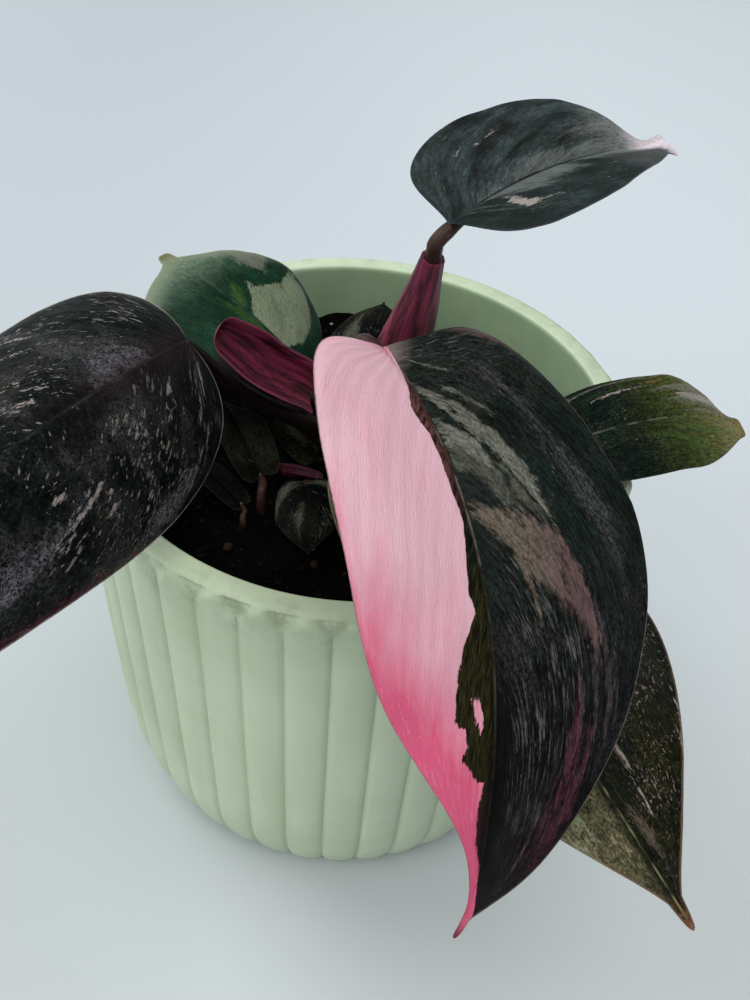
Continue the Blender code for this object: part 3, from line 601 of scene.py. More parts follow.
def make_blade(name, leaf, settings, finishes):
    """One blade: a thin closed sheet with sunken midrib, side veins, and the fields its finish reads."""
    tau, signed, across, along = blade_grid(leaf)
    v, side = np.abs(signed), np.sign(signed)
    q = tau - VEIN_SWEEP * v ** VEIN_CURVE
    middle, _, _, up = lay_blade(leaf, across, along)
    small = name.startswith("bud_")
    reach = leaf["length"]
    seed = sum(map(ord, name)) * 0.37
    flat = np.stack([across, along, 0 * across + seed], axis=-1)
    swell = sum(high * reach * bumps(flat, reach * wide, shift) for high, wide, shift in SWELLS)
    swell *= np.minimum(1, np.abs(across) / (0.08 * reach) + 0.15) * ease(along / reach, -0.05, 0.12)
    middle = middle + up * swell[..., None]
    rows_gap = np.gradient(middle, axis=0)
    columns_gap = np.gradient(middle, axis=1)
    normal = np.cross(columns_gap, rows_gap)
    size = np.linalg.norm(normal, axis=-1, keepdims=True)
    normal = np.where(size > 1e-7, normal / np.maximum(size, 1e-9), up)
    normal = np.where((normal * up).sum(-1, keepdims=True) < 0, -normal, normal)
    normal[0], normal[-1] = up[0], up[-1]

    halfwidth = np.where(side >= 0, np.abs(across[:, -1:]), np.abs(across[:, :1]))
    rim = (1 - v) * halfwidth
    body = settings.thickness / MM * (0.5 if small else 1.0)
    thick = body * (MARGIN_SHARE + (1 - MARGIN_SHARE) * ease(rim, 0.0, MARGIN_WIDTH))
    share_along = np.clip(along / reach, 0, 1)
    depth, spread = (0.16, 0.5) if small else (0.34, 1.1)
    sink = depth * np.exp(-(across / spread) ** 2) * (1 - share_along) ** 0.6
    relief = settings.vein_relief / MM * (0.4 if small else 1.0)
    veins = relief * np.cos(2 * pi * (SIDE_VEINS * q + 0.35 * bumps(flat, 9.0, 2.0))) * ease(v, 0.02, 0.2)
    veins *= ease(halfwidth, 1.0, 6.0) * (1 - 0.5 * ease(v, 0.85, 1.0))
    top = middle + normal * (thick / 2 - np.minimum(sink, body * 0.45) + veins)[..., None]
    bottom = middle - normal * (thick / 2 - 0.5 * veins)[..., None]

    rows, columns = v.shape
    points = np.concatenate([top.reshape(-1, 3), bottom.reshape(-1, 3)])
    n = rows * columns
    upper = grid_faces(rows, columns)
    lower = grid_faces(rows, columns, n, flip=True)
    edge = []
    for j, turn in ((0, 1), (columns - 1, -1)):
        a = np.arange(rows - 1) * columns + j
        strip = np.stack([a, a + columns, a + columns + n, a + n], axis=1)
        edge.append(strip[:, ::turn])
    faces = np.concatenate([upper, lower, *edge])
    kinds = np.concatenate([np.zeros(len(upper)), np.ones(len(lower)), np.zeros(2 * (rows - 1))])
    both = lambda a: np.concatenate([a.ravel(), a.ravel()])
    maps = {
        "blade": np.stack([both(across), both(along)], axis=1) / 10 + (seed, 0.0),
        "veins": np.stack([both(q) + 3.0 * (both(side) < 0), both(along + 0.5 * np.abs(across)) / 10],
                          axis=1),
    }
    fields = {"rim": both(rim), "ridge": both(across), "reach": both(share_along + 0 * v), "radial": both(v)}
    for tone, marks in MARKS.get(name, {}).items():
        fields[tone] = both(mark_field(marks, side, q, v, reach, np.maximum(halfwidth, 1.0)))
    if name == "front":
        border = np.interp(tau, *zip(*PINK_EDGE))
        pink = np.where(side < 0, (v - border) * halfwidth, -np.abs(across) - border * 4)
        pink = np.where(tau >= 1, 1.0, pink)
        slant = v - 0.215 + 1.1 * (tau - 0.645)
        island = np.where(side < 0, 1 - np.hypot((tau - 0.645) / 0.026, slant / 0.046), -2.0)
        fields["pink"] = both(np.maximum(pink, 0.8 * island))
    mesh = build_mesh("leaf_" + name, points, faces, 55, maps, fields, kinds)
    keep("leaf_" + name, mesh, "blade_" + name, finishes)


def make_leaf(name, settings, base):
    """A blade in its own finish; base is its ground unless its look gives another."""
    look = dict(LOOKS[name])
    slot, base, under = look.pop("slot"), look.pop("base", base), look.pop("under", settings.underside)
    finishes = [leaf_finish(name, settings, base, **look), underside_finish(name, under)]
    make_blade(name, LEAVES[name], settings, finishes)


# ---- Finishes -----------------------------------------------------------------------------------


def shaded(colour, by):
    """A colour made darker or lighter, with no channel above 1."""
    return tuple(min(1, by * c) for c in colour)


class Value:
    """A node's output. Sums and steps on it add nodes to the same material."""

    def __init__(self, finish, socket):
        self.finish, self.socket = finish, socket

    def math(self, kind, other=0.0, clamp=False):
        return self.finish.add("Math", {0: self, 1: other}, operation=kind, use_clamp=clamp)

    def __add__(self, other):
        return self.math("ADD", other)

    def __sub__(self, other):
        return self.math("SUBTRACT", other)

    def __mul__(self, other):
        return self.math("MULTIPLY", other)

    def __abs__(self):
        return self.math("ABSOLUTE")

    def step(self, low, high, floor=0.0, top=1.0):
        """Eases from floor to top as the value goes from low to high."""
        return self.finish.add("MapRange", {"Value": self, "From Min": low, "From Max": high, "To Min": floor,
                                            "To Max": top}, interpolation_type="SMOOTHSTEP")


class Finish:
    """A material in the making. ground is its colour so far, and each wash paints over it."""

    def __init__(self, name, ground, rough=0.5):
        self.material = bpy.data.materials.new(name)
        self.material.use_nodes = True
        self.tree = self.material.node_tree
        self.shader = self.tree.nodes["Principled BSDF"]
        self.shader.inputs["Roughness"].default_value = rough
        self.ground = tuple(ground)
        self.material.diffuse_color = (*self.ground, 1.0)

    def add(self, kind, inputs=(), out=0, **settings):
        node = self.tree.nodes.new("ShaderNode" + kind)
        for key, value in settings.items():
            setattr(node, key, value)
        for key, value in dict(inputs).items():
            self.feed(node.inputs[key], value)
        return Value(self, node.outputs[out])

    def feed(self, socket, value):
        if isinstance(value, Value):
            self.tree.links.new(value.socket, socket)
        elif socket.type == "RGBA":
            socket.default_value = (*tuple(value)[:3], 1.0)
        else:
            socket.default_value = value

    def uv(self, name):
        return self.add("UVMap", uv_map=name)

    def field(self, name):
        return self.add("Attribute", attribute_name=name, out="Fac")

    def place(self):
        return self.add("TexCoord", out="Object")

    def stretch(self, where, by):
        return self.add("VectorMath", {0: where, 1: (*by, 1.0)[:3]}, operation="MULTIPLY")

    def noise(self, where, scale, detail=3.0, rough=0.55, twist=0.0):
        """Clouds from about 0 to 1. A scale of two or three numbers draws them out along the map."""
        if isinstance(scale, tuple):
            where, scale = self.stretch(where, scale), 1.0
        return self.add("TexNoise", {"Vector": where, "Scale": scale, "Detail": detail, "Roughness": rough,
                                     "Distortion": twist})

    def blend(self, share, a, b, kind="MIX"):
        return self.add("Mix", {0: share, 6: a, 7: b}, out=2, data_type="RGBA", blend_type=kind)

    def mottle(self, share, colour, dark, light):
        return self.blend(share, shaded(colour, dark), shaded(colour, light))

    def wash(self, share, colour, kind="MIX"):
        self.ground = self.blend(share, self.ground, colour, kind)

    def bump(self, height, distance, strength, under=None):
        inputs = {"Height": height, "Distance": distance, "Strength": strength}
        return self.add("Bump", dict(inputs, Normal=under) if under else inputs)

    def dress(self, rough=None, normal=None, **constants):
        for key, value in (("Base Color", self.ground), ("Roughness", rough), ("Normal", normal)):
            if value is not None:
                self.feed(self.shader.inputs[key], value)
        for key, value in constants.items():
            self.shader.inputs[key.replace("_", " ")].default_value = value
        return self.material


class LeafFinish(Finish):
    """The upper side of a leaf in the making, with the places and textures that its washes share.

    ridge is the distance across from the midrib and rim from the margin, in millimetres; reach goes from 0
    at the joint to 1 at the tip. hair, streak and patchy run along the veins, from fine to wide."""

    def __init__(self, name, ground):
        super().__init__("leaf_face_" + name, ground, LEAF_ROUGHNESS)
        self.veins, self.blade = self.uv("veins"), self.uv("blade")
        self.ridge, self.reach, self.rim = (self.field(key) for key in ("ridge", "reach", "rim"))
        self.wide = self.noise(self.blade, 0.6)
        self.patchy = self.noise(self.veins, (10.0, 0.6), 4.0)
        self.streak = self.noise(self.veins, (80.0, 2.4), 4.0, 0.65)
        self.hair = self.noise(self.veins, (190.0, 5.0), 3.0, 0.6)
        self.grain = self.noise(self.stretch(self.blade, (1.0, 0.6)), 22.0, 4.0, 0.75, 0.4)
        if name == "front":
            self.tooth = self.noise(self.veins, (95.0, 2.2), 5.0, 0.7, 1.0)
        else:
            self.tooth = self.noise(self.stretch(self.blade, (1.0, 0.8)), 8.5, 5.0, 0.7, 1.2)
        self.ragged = self.noise(self.veins, (50.0, 3.5), 5.0, 0.7) - 0.5


def paint_ground(f, settings, warm, cool, green, half, blotch, tip, bite):
    """The wide soft colours of a leaf and the fine texture over them."""
    f.wash(f.wide.step(0.42, 0.68, 0.0, warm * 1.5), settings.olive)
    f.wash(f.patchy.step(0.42, 0.66, 0.0, cool * 1.5), settings.blue_black)
    if green:
        f.wash(f.patchy.step(0.36, 0.60, 0.0, 0.85), green)
    if half:
        side, colour = half
        f.wash(f.ridge.step(0.0, 2.5 * side) * f.wide.step(0.3, 0.6, 0.55, 0.95), colour)
    if blotch:
        cloud = f.noise(f.stretch(f.blade, (1.0, 0.7)), 1.3, 3.0, 0.6)
        f.wash(cloud.step(0.42, 0.62, 0.0, blotch), f.blend(1.0, f.ground, (2.6, 2.4, 2.8), "MULTIPLY"))
    for low, high, colour in tip:
        f.wash((f.reach + f.ragged * 0.22).step(low, high), colour)
    for texture, low, dark, light in ((f.grain, 0.36, 0.50, 1.6), (f.streak, 0.36, 0.50, 1.7),
                                      (f.tooth, 0.34, 0.45, 1.75)):
        dark, light = (1 + (level - 1) * bite for level in (dark, light))
        f.wash(1.0, f.blend(texture.step(low, 0.66), (dark,) * 3, (light,) * 3), "MULTIPLY")


def paint_flecks(f, settings, marks, flecks, dust, fleck, dash):
    """The violet-grey powder of a leaf, which in its dust marks is partly painted sheen, its scratches and
    its small pale flecks.
    """
    powder_and_sheen = f.wide.step(0.46, 0.64, 0.0, 0.3 * dust)
    if "dust" in marks:
        # The dust marks are partly a real powder and partly painted sheen.
        powder_and_sheen = powder_and_sheen.math("MAXIMUM", (f.field("dust") + f.ragged * 12.0).step(-1.0, 3.5, 0.0, dust))
    worm = abs(f.tooth - 0.5).step(0.075, 0.015)
    f.wash(powder_and_sheen * worm, f.mottle(f.grain.step(0.42, 0.66), settings.dust, 0.55, 1.9))
    f.wash(powder_and_sheen * f.grain.step(0.42, 0.62, 0.0, 0.35), settings.dust)
    if "scratch" in marks:
        lines = f.noise(f.veins, (105.0, 1.3), 4.0, 0.8).step(0.52, 0.64)
        f.wash(f.field("scratch").step(-2.0, 4.0, 0.0, 0.9) * lines * f.tooth.step(0.36, 0.52),
               (0.105, 0.103, 0.098))
    crowd = f.noise(f.blade, 0.9, 2.0).step(0.36, 0.62, -0.04, 0.04)
    if "speck" in marks:
        crowd += f.field("speck").step(-1.5, 3.0, 0.0, 0.05)
    level = 0.735 - 0.085 * flecks
    spots = (f.noise(f.veins, (60.0, dash), 3.0, 0.75, 0.4) + crowd).step(level + 0.01, level + 0.035)
    if dash < SHORT_DASH:
        spots = spots.math("MAXIMUM", (f.streak + crowd).step(level, level + 0.03))
    f.wash(spots * 0.85, f.mottle(f.grain.step(0.36, 0.62), fleck or settings.fleck, 0.5, 1.3))


def paint_marks(f, settings, name, marks, bite):
    """The larger marks of a leaf, each kind in its own colour and with a frayed edge."""
    frayed = (f.hair - 0.5) * 2.4 + (f.tooth - 0.5) * 1.6
    for tone, (solid, soft) in TONES.items():
        if tone not in marks:
            continue
        edge = f.field(tone) + f.ragged * (2.0 + 3.5 * min(soft, 1.5))
        mask = (edge + frayed).step(-0.5 * soft, soft)
        mask *= (f.hair + f.patchy * 0.6).step(0.50, 0.95, solid * 0.45, solid)
        if soft > 0.9:
            mask *= f.streak.step(0.34, 0.56, 0.55, 1.0)
        inside = f.mottle(f.grain.step(0.34, 0.68), getattr(settings, tone), 1 - 0.4 * bite, 1 + 0.3 * bite)
        if tone == "rose" and name == "front":
            inside = f.blend(f.field("radial").step(0.22, 0.60), inside, (0.150, 0.088, 0.088))
        f.wash(mask, inside)


def paint_pink_half(f, settings):
    """The front leaf's pink half, its ragged border and the dark and brown lines beside the midrib."""
    reach, ridge, streak, hair = f.reach, f.ridge, f.streak, f.hair
    away = abs(ridge)
    joint = away + reach * float(LEAVES["front"]["length"])
    deep = f.rim.step(12.0, 0.0) * reach.step(0.12, 0.60) * 0.62 + reach.step(0.26, 0.70, 0.0, 0.60)
    deep = deep.math("ADD", (f.patchy - 0.5) * 0.9, clamp=True)
    deep = deep.math("ADD", f.rim.step(1.2, 0.1, 0.0, 0.25) * reach.step(0.12, 0.30), clamp=True)
    flesh = f.blend(deep, settings.pale_pink, settings.deep_pink)
    for mask, colour in (
            (hair.step(0.54, 0.72, 0.0, 0.30), (0.60, 0.20, 0.29)),
            (streak.step(0.54, 0.70, 0.0, 0.5) * reach.step(0.35, 0.6), (0.80, 0.40, 0.48)),
            (reach.step(0.945, 1.0, 0.0, 0.85), (0.055, 0.022, 0.014)),
            (f.grain.step(0.40, 0.30, 0.0, 0.25), (0.90, 0.72, 0.75)),
            (joint.step(7.0, 0.5, 0.0, 0.7), (0.55, 0.16, 0.24))):
        flesh = f.blend(mask, flesh, colour)
    cut = f.field("pink") + f.ragged * reach.step(0.35, 0.55, 0.9, 2.2)
    olive = f.blend(streak.step(0.40, 0.64), (0.007, 0.006, 0.001), (0.042, 0.038, 0.009))
    brown = f.blend(streak.step(0.42, 0.60), (0.030, 0.010, 0.010), (0.150, 0.065, 0.055))
    wisp = f.noise(f.stretch(f.blade, (0.5, 4.0)), 4.0, 5.0, 0.7, 0.8)
    for mask, colour in (
            (ridge.step(0.6, -0.4) * reach.step(0.30, 0.42) * 0.75, olive),
            (cut.step(-1.8, -0.5) * reach.step(0.66, 0.74, 0.0, 0.8), (0.026, 0.007, 0.014)),
            (ridge.step(4.6, 1.6) * ridge.step(-0.3, 0.3) * reach.step(0.46, 0.62, 0.0, 0.75),
             (0.0020, 0.0016, 0.0016)),
            (ridge.step(0.5, -0.3) * cut.step(-9.0, -0.6, 0.6, 1.0) * reach.step(0.36, 0.16, 0.0, 0.9),
             brown),
            (away.step(1.5, 0.4) * reach.step(0.30, 0.75, 0.0, 0.7), (0.0016, 0.0014, 0.0014)),
            (joint.step(8.5, 1.0) * hair.step(0.35, 0.6, 0.35, 0.9), (0.26, 0.20, 0.185)),
            (wisp.step(0.54, 0.66, 0.0, 0.7) * reach.step(0.10, 0.0), (0.16, 0.155, 0.135)),
            (cut.step(-0.04, 0.16), flesh)):
        f.wash(mask, colour)


def paint_back_margin(f):
    """The back leaf's pale margin and olive tip, and the shade on it below the left sheath."""
    f.wash((f.rim + f.ragged * 5.0).step(5.0, 0.5) * f.reach.step(0.48, 0.75, 0.0, 0.85),
           (0.175, 0.215, 0.140))
    f.wash(f.reach.step(0.93, 0.985, 0.0, 0.9), (0.13, 0.125, 0.045))
    f.wash(f.ridge.step(11.0, 14.0) * f.reach.step(0.37, 0.28, 0.0, 0.95), (0.0050, 0.0045, 0.0035))


def paint_white_tip(f):
    """The top leaf's white tip, which also covers its margin."""
    near = f.reach + f.ragged * 0.12
    white = (f.ridge.step(-3.5, -1.0) * near.step(0.75, 0.87)).math("MAXIMUM", near.step(0.88, 0.93))
    f.wash(white, f.blend(f.grain.step(0.4, 0.6), (0.60, 0.53, 0.57), (0.74, 0.67, 0.71)))


def paint_wine_edge(f):
    """The left leaf's wine-red midrib near the joint and the red skin along its lower margin."""
    f.wash((abs(f.ridge) + f.ragged * 8.0).step(7.0, 0.0) * f.reach.step(0.42, 0.12, 0.0, 0.65),
           (0.017, 0.0075, 0.0115))
    skirt = (f.rim + f.ragged * 9.0).step(1.8, 0.2) * (f.ridge.step(16.0, 20.0) * f.reach.step(0.22, 0.34))
    f.wash(skirt * 0.65, f.blend(f.hair.step(0.4, 0.65), (0.030, 0.006, 0.010), (0.17, 0.050, 0.07)))


def leaf_finish(name, settings, base, warm=0.3, cool=0.3, flecks=0.5, dust=0.5, green=None, tip=(), half=None,
                seam=0.3, rib=(0.26, 0.25, 0.20), hem=(0.16, 0.13, 0.11), border=0.26, fleck=None, blotch=0.0,
                bite=1.0, shine=0.085, dash=3.4):
    """The upper side of a variegated leaf: ground, powder, flecks, marks, midrib and margin."""
    f = LeafFinish(name, base)
    marks = MARKS.get(name, {})
    paint_ground(f, settings, warm, cool, green, half, blotch, tip, bite)
    paint_flecks(f, settings, marks, flecks, dust, fleck, dash)
    paint_marks(f, settings, name, marks, bite)
    line = abs(f.ridge).step(0.36, 0.10) * f.noise(f.blade, 1.6, 2.0).step(0.40, 0.58, 0.1, 1.0)
    f.wash(line * seam, rib)
    if name == "top":
        lower = f.ridge.step(-1.5, -4.0) * (f.reach + f.ragged * 0.12).step(0.93, 0.87)
        f.wash(lower * f.reach.step(0.55, 0.72, 0.0, 0.8), (0.010, 0.014, 0.013))
    if name == "front":
        paint_pink_half(f, settings)
    if name == "back":
        paint_back_margin(f)
    edge = (f.rim + f.ragged * 0.3).step(border, 0.3 * border)
    f.wash(edge * f.hair.step(0.3, 0.6, 0.35, 0.8), hem)
    if name == "top":
        paint_white_tip(f)
    if name == "left":
        paint_wine_edge(f)
    rough = f.grain.step(0.3, 0.7, LEAF_ROUGHNESS - 0.06, LEAF_ROUGHNESS + 0.10)
    normal = f.bump(f.streak * 0.5 + f.hair * 0.3, 0.00022, 0.8, f.bump(f.tooth, 0.00012, 0.8))
    return f.dress(rough, normal, IOR=1.42, Specular_IOR_Level=shine)


def underside_finish(name, tone):
    f = Finish("leaf_underside_" + name, tone)
    veins = f.uv("veins")
    streak, hair = f.noise(veins, (40.0, 1.2), 4.0, 0.6), f.noise(veins, (130.0, 3.0))
    f.ground = f.mottle(streak.step(0.4, 0.68), tone, 0.75, 1.5)
    f.wash(abs(f.field("ridge")).step(0.8, 0.3, 0.0, 0.6), (0.14, 0.07, 0.06))
    if name == "front":
        f.wash(f.field("pink").step(-0.2, 0.3, 0.0, 0.85), (0.52, 0.20, 0.27))
    return f.dress(hair.step(0.3, 0.7, 0.42, 0.6), f.bump(streak + hair, 0.00025, 0.7))


def glaze_finish(settings):
    f = Finish("matt_mint_glaze", settings.glaze)
    where = f.place()
    cloud, fine = f.noise(where, 22.0, 4.0), f.noise(where, 900.0, 3.0, 0.6)
    f.ground = f.blend(cloud.step(0.35, 0.68), settings.shade, settings.glaze)
    f.wash(f.noise(where, (90.0, 90.0, 9.0)).step(0.40, 0.70, 0.0, 0.35), shaded(settings.glaze, 1.12))
    # Painted shade in the grooves between the ribs, in the glaze's shade colour.
    f.wash(f.field("hollow").step(0.35, 1.0, 0.0, 0.30), settings.shade)
    f.wash(f.field("band") * f.noise(where, 150.0, 5.0, 0.75).step(0.40, 0.62) * 0.75, settings.dirt)
    # Painted shade: the inside of the pot is darkened and turned greener.
    f.wash(f.field("within") * 0.9, (0.66, 0.78, 0.67), "MULTIPLY")
    crumb, dice = (f.add("TexVoronoi", {"Vector": where, "Scale": 70.0}, out)
                   for out in ("Distance", "Color"))
    chosen = f.add("SeparateColor", {"Color": dice}).math("GREATER_THAN", 0.86)
    f.wash(crumb.step(0.034, 0.024) * chosen, (0.02, 0.02, 0.018))
    normal = f.bump(fine, 0.00008, 0.5, f.bump(cloud, 0.0006, 0.4))
    return f.dress(cloud.step(0.3, 0.7, 0.46, 0.60), normal, Specular_IOR_Level=0.35)


def soil_finish(settings):
    f = Finish("damp_potting_soil", settings.soil, 0.9)
    where = f.place()
    clod = f.noise(where, 160.0, 6.0, 0.7)
    f.ground = f.mottle(clod.step(0.40, 0.72), settings.soil, 0.5, 2.2)
    f.wash(f.noise(where, (900.0, 260.0, 500.0), 2.0).step(0.68, 0.76, 0.0, 0.5), (0.030, 0.020, 0.012))
    return f.dress(clod.step(0.3, 0.7, 0.75, 1.0), f.bump(clod, 0.0012, 0.9), Specular_IOR_Level=0.03)


def grain_finish(name, colour):
    f = Finish(name, colour, 0.85)
    pores = f.noise(f.place(), 1500.0)
    f.ground = f.mottle(pores.step(0.35, 0.65), colour, 0.55, 1.3)
    return f.dress(None, f.bump(pores, 0.0003, 0.8), Specular_IOR_Level=0.08)


def stalk_finish(name, low, high):
    f = Finish(name, low, 0.42)
    run = f.uv("run")
    streak, mottle = f.noise(run, (14.0, 0.9), 4.0, 0.6), f.noise(run, (6.0, 6.0), 4.0)
    f.wash(f.field("reach"), high)
    f.wash(streak.step(0.42, 0.64, 0.0, 0.55), shaded(low, 0.45))
    f.wash(streak.step(0.60, 0.74, 0.0, 0.45), shaded(high, 2.2))
    f.wash(mottle.step(0.60, 0.70, 0.0, 0.35), shaded(high, 4))
    return f.dress(mottle.step(0.3, 0.7, 0.34, 0.52), f.bump(streak, 0.00025, 0.8), Specular_IOR_Level=0.2)


def sheath_finish(settings, name, painted_shade_dim):
    # A factor below 1 gives a darker copy of the skin for a sheath that lies in shade: painted shade.
    crimson = shaded(settings.crimson, painted_shade_dim)
    f = Finish("sheath_skin_" + name, crimson, 0.42)
    run = f.uv("run")
    rib, thin = f.noise(run, (5.0, 0.6), 5.0, 0.65, 0.5), f.noise(run, (34.0, 1.0), 4.0, 0.6)
    f.ground = f.mottle(rib.step(0.38, 0.62), crimson, 0.22, 1.5)
    f.wash(thin.step(0.60, 0.76, 0.0, 0.55 * painted_shade_dim), settings.streak)
    f.wash(f.noise(run, (3.0, 1.2)).step(0.55, 0.72, 0.0, 0.5), shaded((0.075, 0.022, 0.016), painted_shade_dim))
    f.wash((f.field("fold") + (thin - 0.5) * 1.6).step(0.45, 0.05, 0.0, 0.85 * painted_shade_dim), settings.rim)
    return f.dress(thin.step(0.3, 0.7, 0.34, 0.5), f.bump(rib + thin, 0.0003, 0.8), Specular_IOR_Level=0.4)


# ---- Pot and soil -------------------------------------------------------------------------------


def pot_wall(z):
    """Outer radius of the pot at a height: nearly straight, drawn in and rounded at the foot."""
    t = z / POT_HEIGHT
    belly = 0.55 * np.sin(pi * np.minimum(t, 0.75) / 0.75)
    foot = 6.4 * np.maximum(0.0, 1 - z / 30.0) ** 2.2
    return POT_RADIUS - 0.5 + belly - foot


def rib_cut(angle, z):
    """How deep the wall is cut at an angle and height, from 0 on a rib's crest to 1 in a groove."""
    turn = (angle - RIB_PHASE) * RIBS / (2 * pi)
    s = 1 - 2 * np.abs(turn - np.round(turn))
    rise = np.clip((z - (RIB_TOP - 6.0)) / 6.0, 0, 1)
    s = np.minimum(1.0, s * (1 + 1.3 * rise ** 2.2))
    cut = 0.58 * s ** 2 + 0.42 * s ** 9
    return cut * (1 - ease(z, RIB_TOP - 0.6, RIB_TOP + 0.6)) * ease(z, 0.0, 1.4)


def make_pot(settings):
    """The pot, turned from a profile that runs from the middle of its floor up the inside, over the lip, down
    the ribbed outside and under the foot."""
    inner = POT_RADIUS - LIP_WIDTH
    inside = [(0, POT_FLOOR), (20, POT_FLOOR), (40, POT_FLOOR), (inner - 8.0, POT_FLOOR), (inner - 5.0, 9.0),
              (inner - 3.2, POT_FLOOR + 5), (inner - 2.2, 32), (inner - 1.0, 60), (inner - 0.7, 80),
              (inner - 0.4, 100), (inner - 0.25, 112), (inner - 0.15, 120), (inner - 0.1, 123.4)]
    turn_in = [(inner + 0.9 - 1.0 * cos(a), 124.6 + 1.4 * sin(a)) for a in np.linspace(0, pi / 2, 6)]
    turn_out = [(POT_RADIUS - 3.3 + 2.8 * sin(a), 123.2 + 2.8 * cos(a)) for a in np.linspace(0, pi / 2, 16)]
    spans = ((122.8, 114, 16), (111, 34, 22), (31, 3.4, 16))
    heights = np.concatenate([np.linspace(*span) for span in spans])
    foot = [(64.1, 2.6), (63.6, 1.8), (62.8, 1.05), (61.9, 0.5), (60.9, 0.15), (59.6, 0.0), (40, 0), (20, 0),
            (0, 0)]
    profile = np.array(inside + turn_in + turn_out + [(pot_wall(z), z) for z in heights] + foot)
    steps = RIBS * RIB_STEPS
    angle = np.arange(steps) * 2 * pi / steps + RIB_PHASE
    r, z = profile[:, :1] + 0 * angle, profile[:, 1:] + 0 * angle
    outside = (np.arange(len(profile)) >= len(inside) + len(turn_in))[:, None]
    cut = np.where(outside & (r > 50), rib_cut(angle[None, :], z), 0.0)
    r = r - cut * settings.rib_depth / MM
    points = np.stack([r * np.cos(angle), r * np.sin(angle), z], axis=-1)
    wobble = 0.10 * bumps(points, 26.0, 3.0)
    spread = points / np.maximum(np.hypot(points[..., 0], points[..., 1]), 1)[..., None]
    spread = np.where(r[..., None] > 30, spread, 0)
    points[..., :2] += (spread * wobble[..., None])[..., :2]
    wear = ease(z, 110.0, 124.5)
    low_cut = rib_cut(angle[None, :], np.minimum(z, 124.0))
    dust = wear * (0.35 + 0.65 * np.maximum(cut, ease(low_cut, 0.25, 0.9)))
    # within marks the inside of the pot, which its finish darkens as painted shade.
    within = np.arange(len(profile))[:, None] < len(inside) + 3
    fields = {"hollow": cut, "band": np.where(outside, dust * (1 - 0.5 * ease(z, 125.6, 126)), 0.12),
              "within": np.where(within, 1.0, 0.0) + 0 * z}
    faces = grid_faces(len(profile), steps, wrap=True, flip=True)
    mesh = build_mesh("pot_fired", points.reshape(-1, 3), faces, 70, fields=fields)
    keep("pot_ribbed", mesh, "pot", [glaze_finish(settings)])


def soil_height(x, y):
    """The gentle waves of the soil's solid, which its finer surface and the grains follow."""
    wave = np.sin(0.31 * x + 0.9) * np.cos(0.27 * y - 0.4) + 0.6 * np.sin(0.13 * x - 0.22 * y + 2.1)
    return SOIL_TOP + SOIL_BUMP * wave / 1.6


def make_soil(settings):
    rings, steps = 90, 260
    angle = np.arange(steps) * 2 * pi / steps
    r = SOIL_RADIUS * np.linspace(0, 1, rings)[:, None] ** 0.8 + 0 * angle
    x, y = r * np.cos(angle), r * np.sin(angle)
    flat = np.stack([x, y, 0 * x], axis=-1)
    z = soil_height(x, y)
    for high, size, seed in ((0.55, 3.2, 0.0), (0.35, 1.3, 4.0), (0.5, 9.0, 8.0)):
        z = z + high * bumps(flat, size, seed)
    top = np.stack([x, y, z], axis=-1)
    skirt = []
    for radius, height in ((61.5, 106), (61.2, 60), (59.0, 13), (54.2, 8.0), (0.0, 8.0)):
        skirt.append(np.stack([radius * np.cos(angle), radius * np.sin(angle), height + 0 * angle], axis=-1))
    points = np.concatenate([top, np.array(skirt)])
    faces = grid_faces(len(points), steps, wrap=True)
    mesh = build_mesh("soil_body", points.reshape(-1, 3), faces, 60)
    keep("soil_surface", mesh, "soil", [soil_finish(settings)])


def lumps(name, count, low, high, flat, seed, finish):
    """Many small uneven grains on the soil, joined as one piece."""
    draw = np.random.default_rng(seed)
    shape = bmesh.new()
    for number in range(count):
        r, a = GRAIN_SPREAD * np.sqrt(draw.random()), 2 * pi * draw.random()
        size = low + (high - low) * draw.random() ** 2.5
        x, y = r * cos(a), r * sin(a)
        z = float(soil_height(x, y)) + size * 0.15
        turn = Matrix.Rotation(2 * pi * draw.random(), 4, Vector(draw.normal(size=3)).normalized())
        stretch = Matrix.Diagonal((*(size * (0.7 + 0.6 * draw.random(2))), size * flat, 1.0))
        place = Matrix.Translation((x * MM, y * MM, z * MM)) @ Matrix.Scale(MM, 4) @ stretch @ turn
        finer = 1 if size < 1.1 else 2
        made = bmesh.ops.create_icosphere(shape, subdivisions=finer, radius=1.0, matrix=place)
        for vertex in made["verts"]:
            out = vertex.co - Vector((x, y, z)) * MM
            vertex.co += out * 0.45 * noise.noise(vertex.co / (size * MM) * 0.9 + Vector((number, 0, 0)))
    mesh = bpy.data.meshes.new(name)
    shape.to_mesh(mesh)
    shape.free()
    mesh.shade_smooth()
    keep(name, mesh, None, [finish])


# ---- Stalks and sheaths -------------------------------------------------------------------------


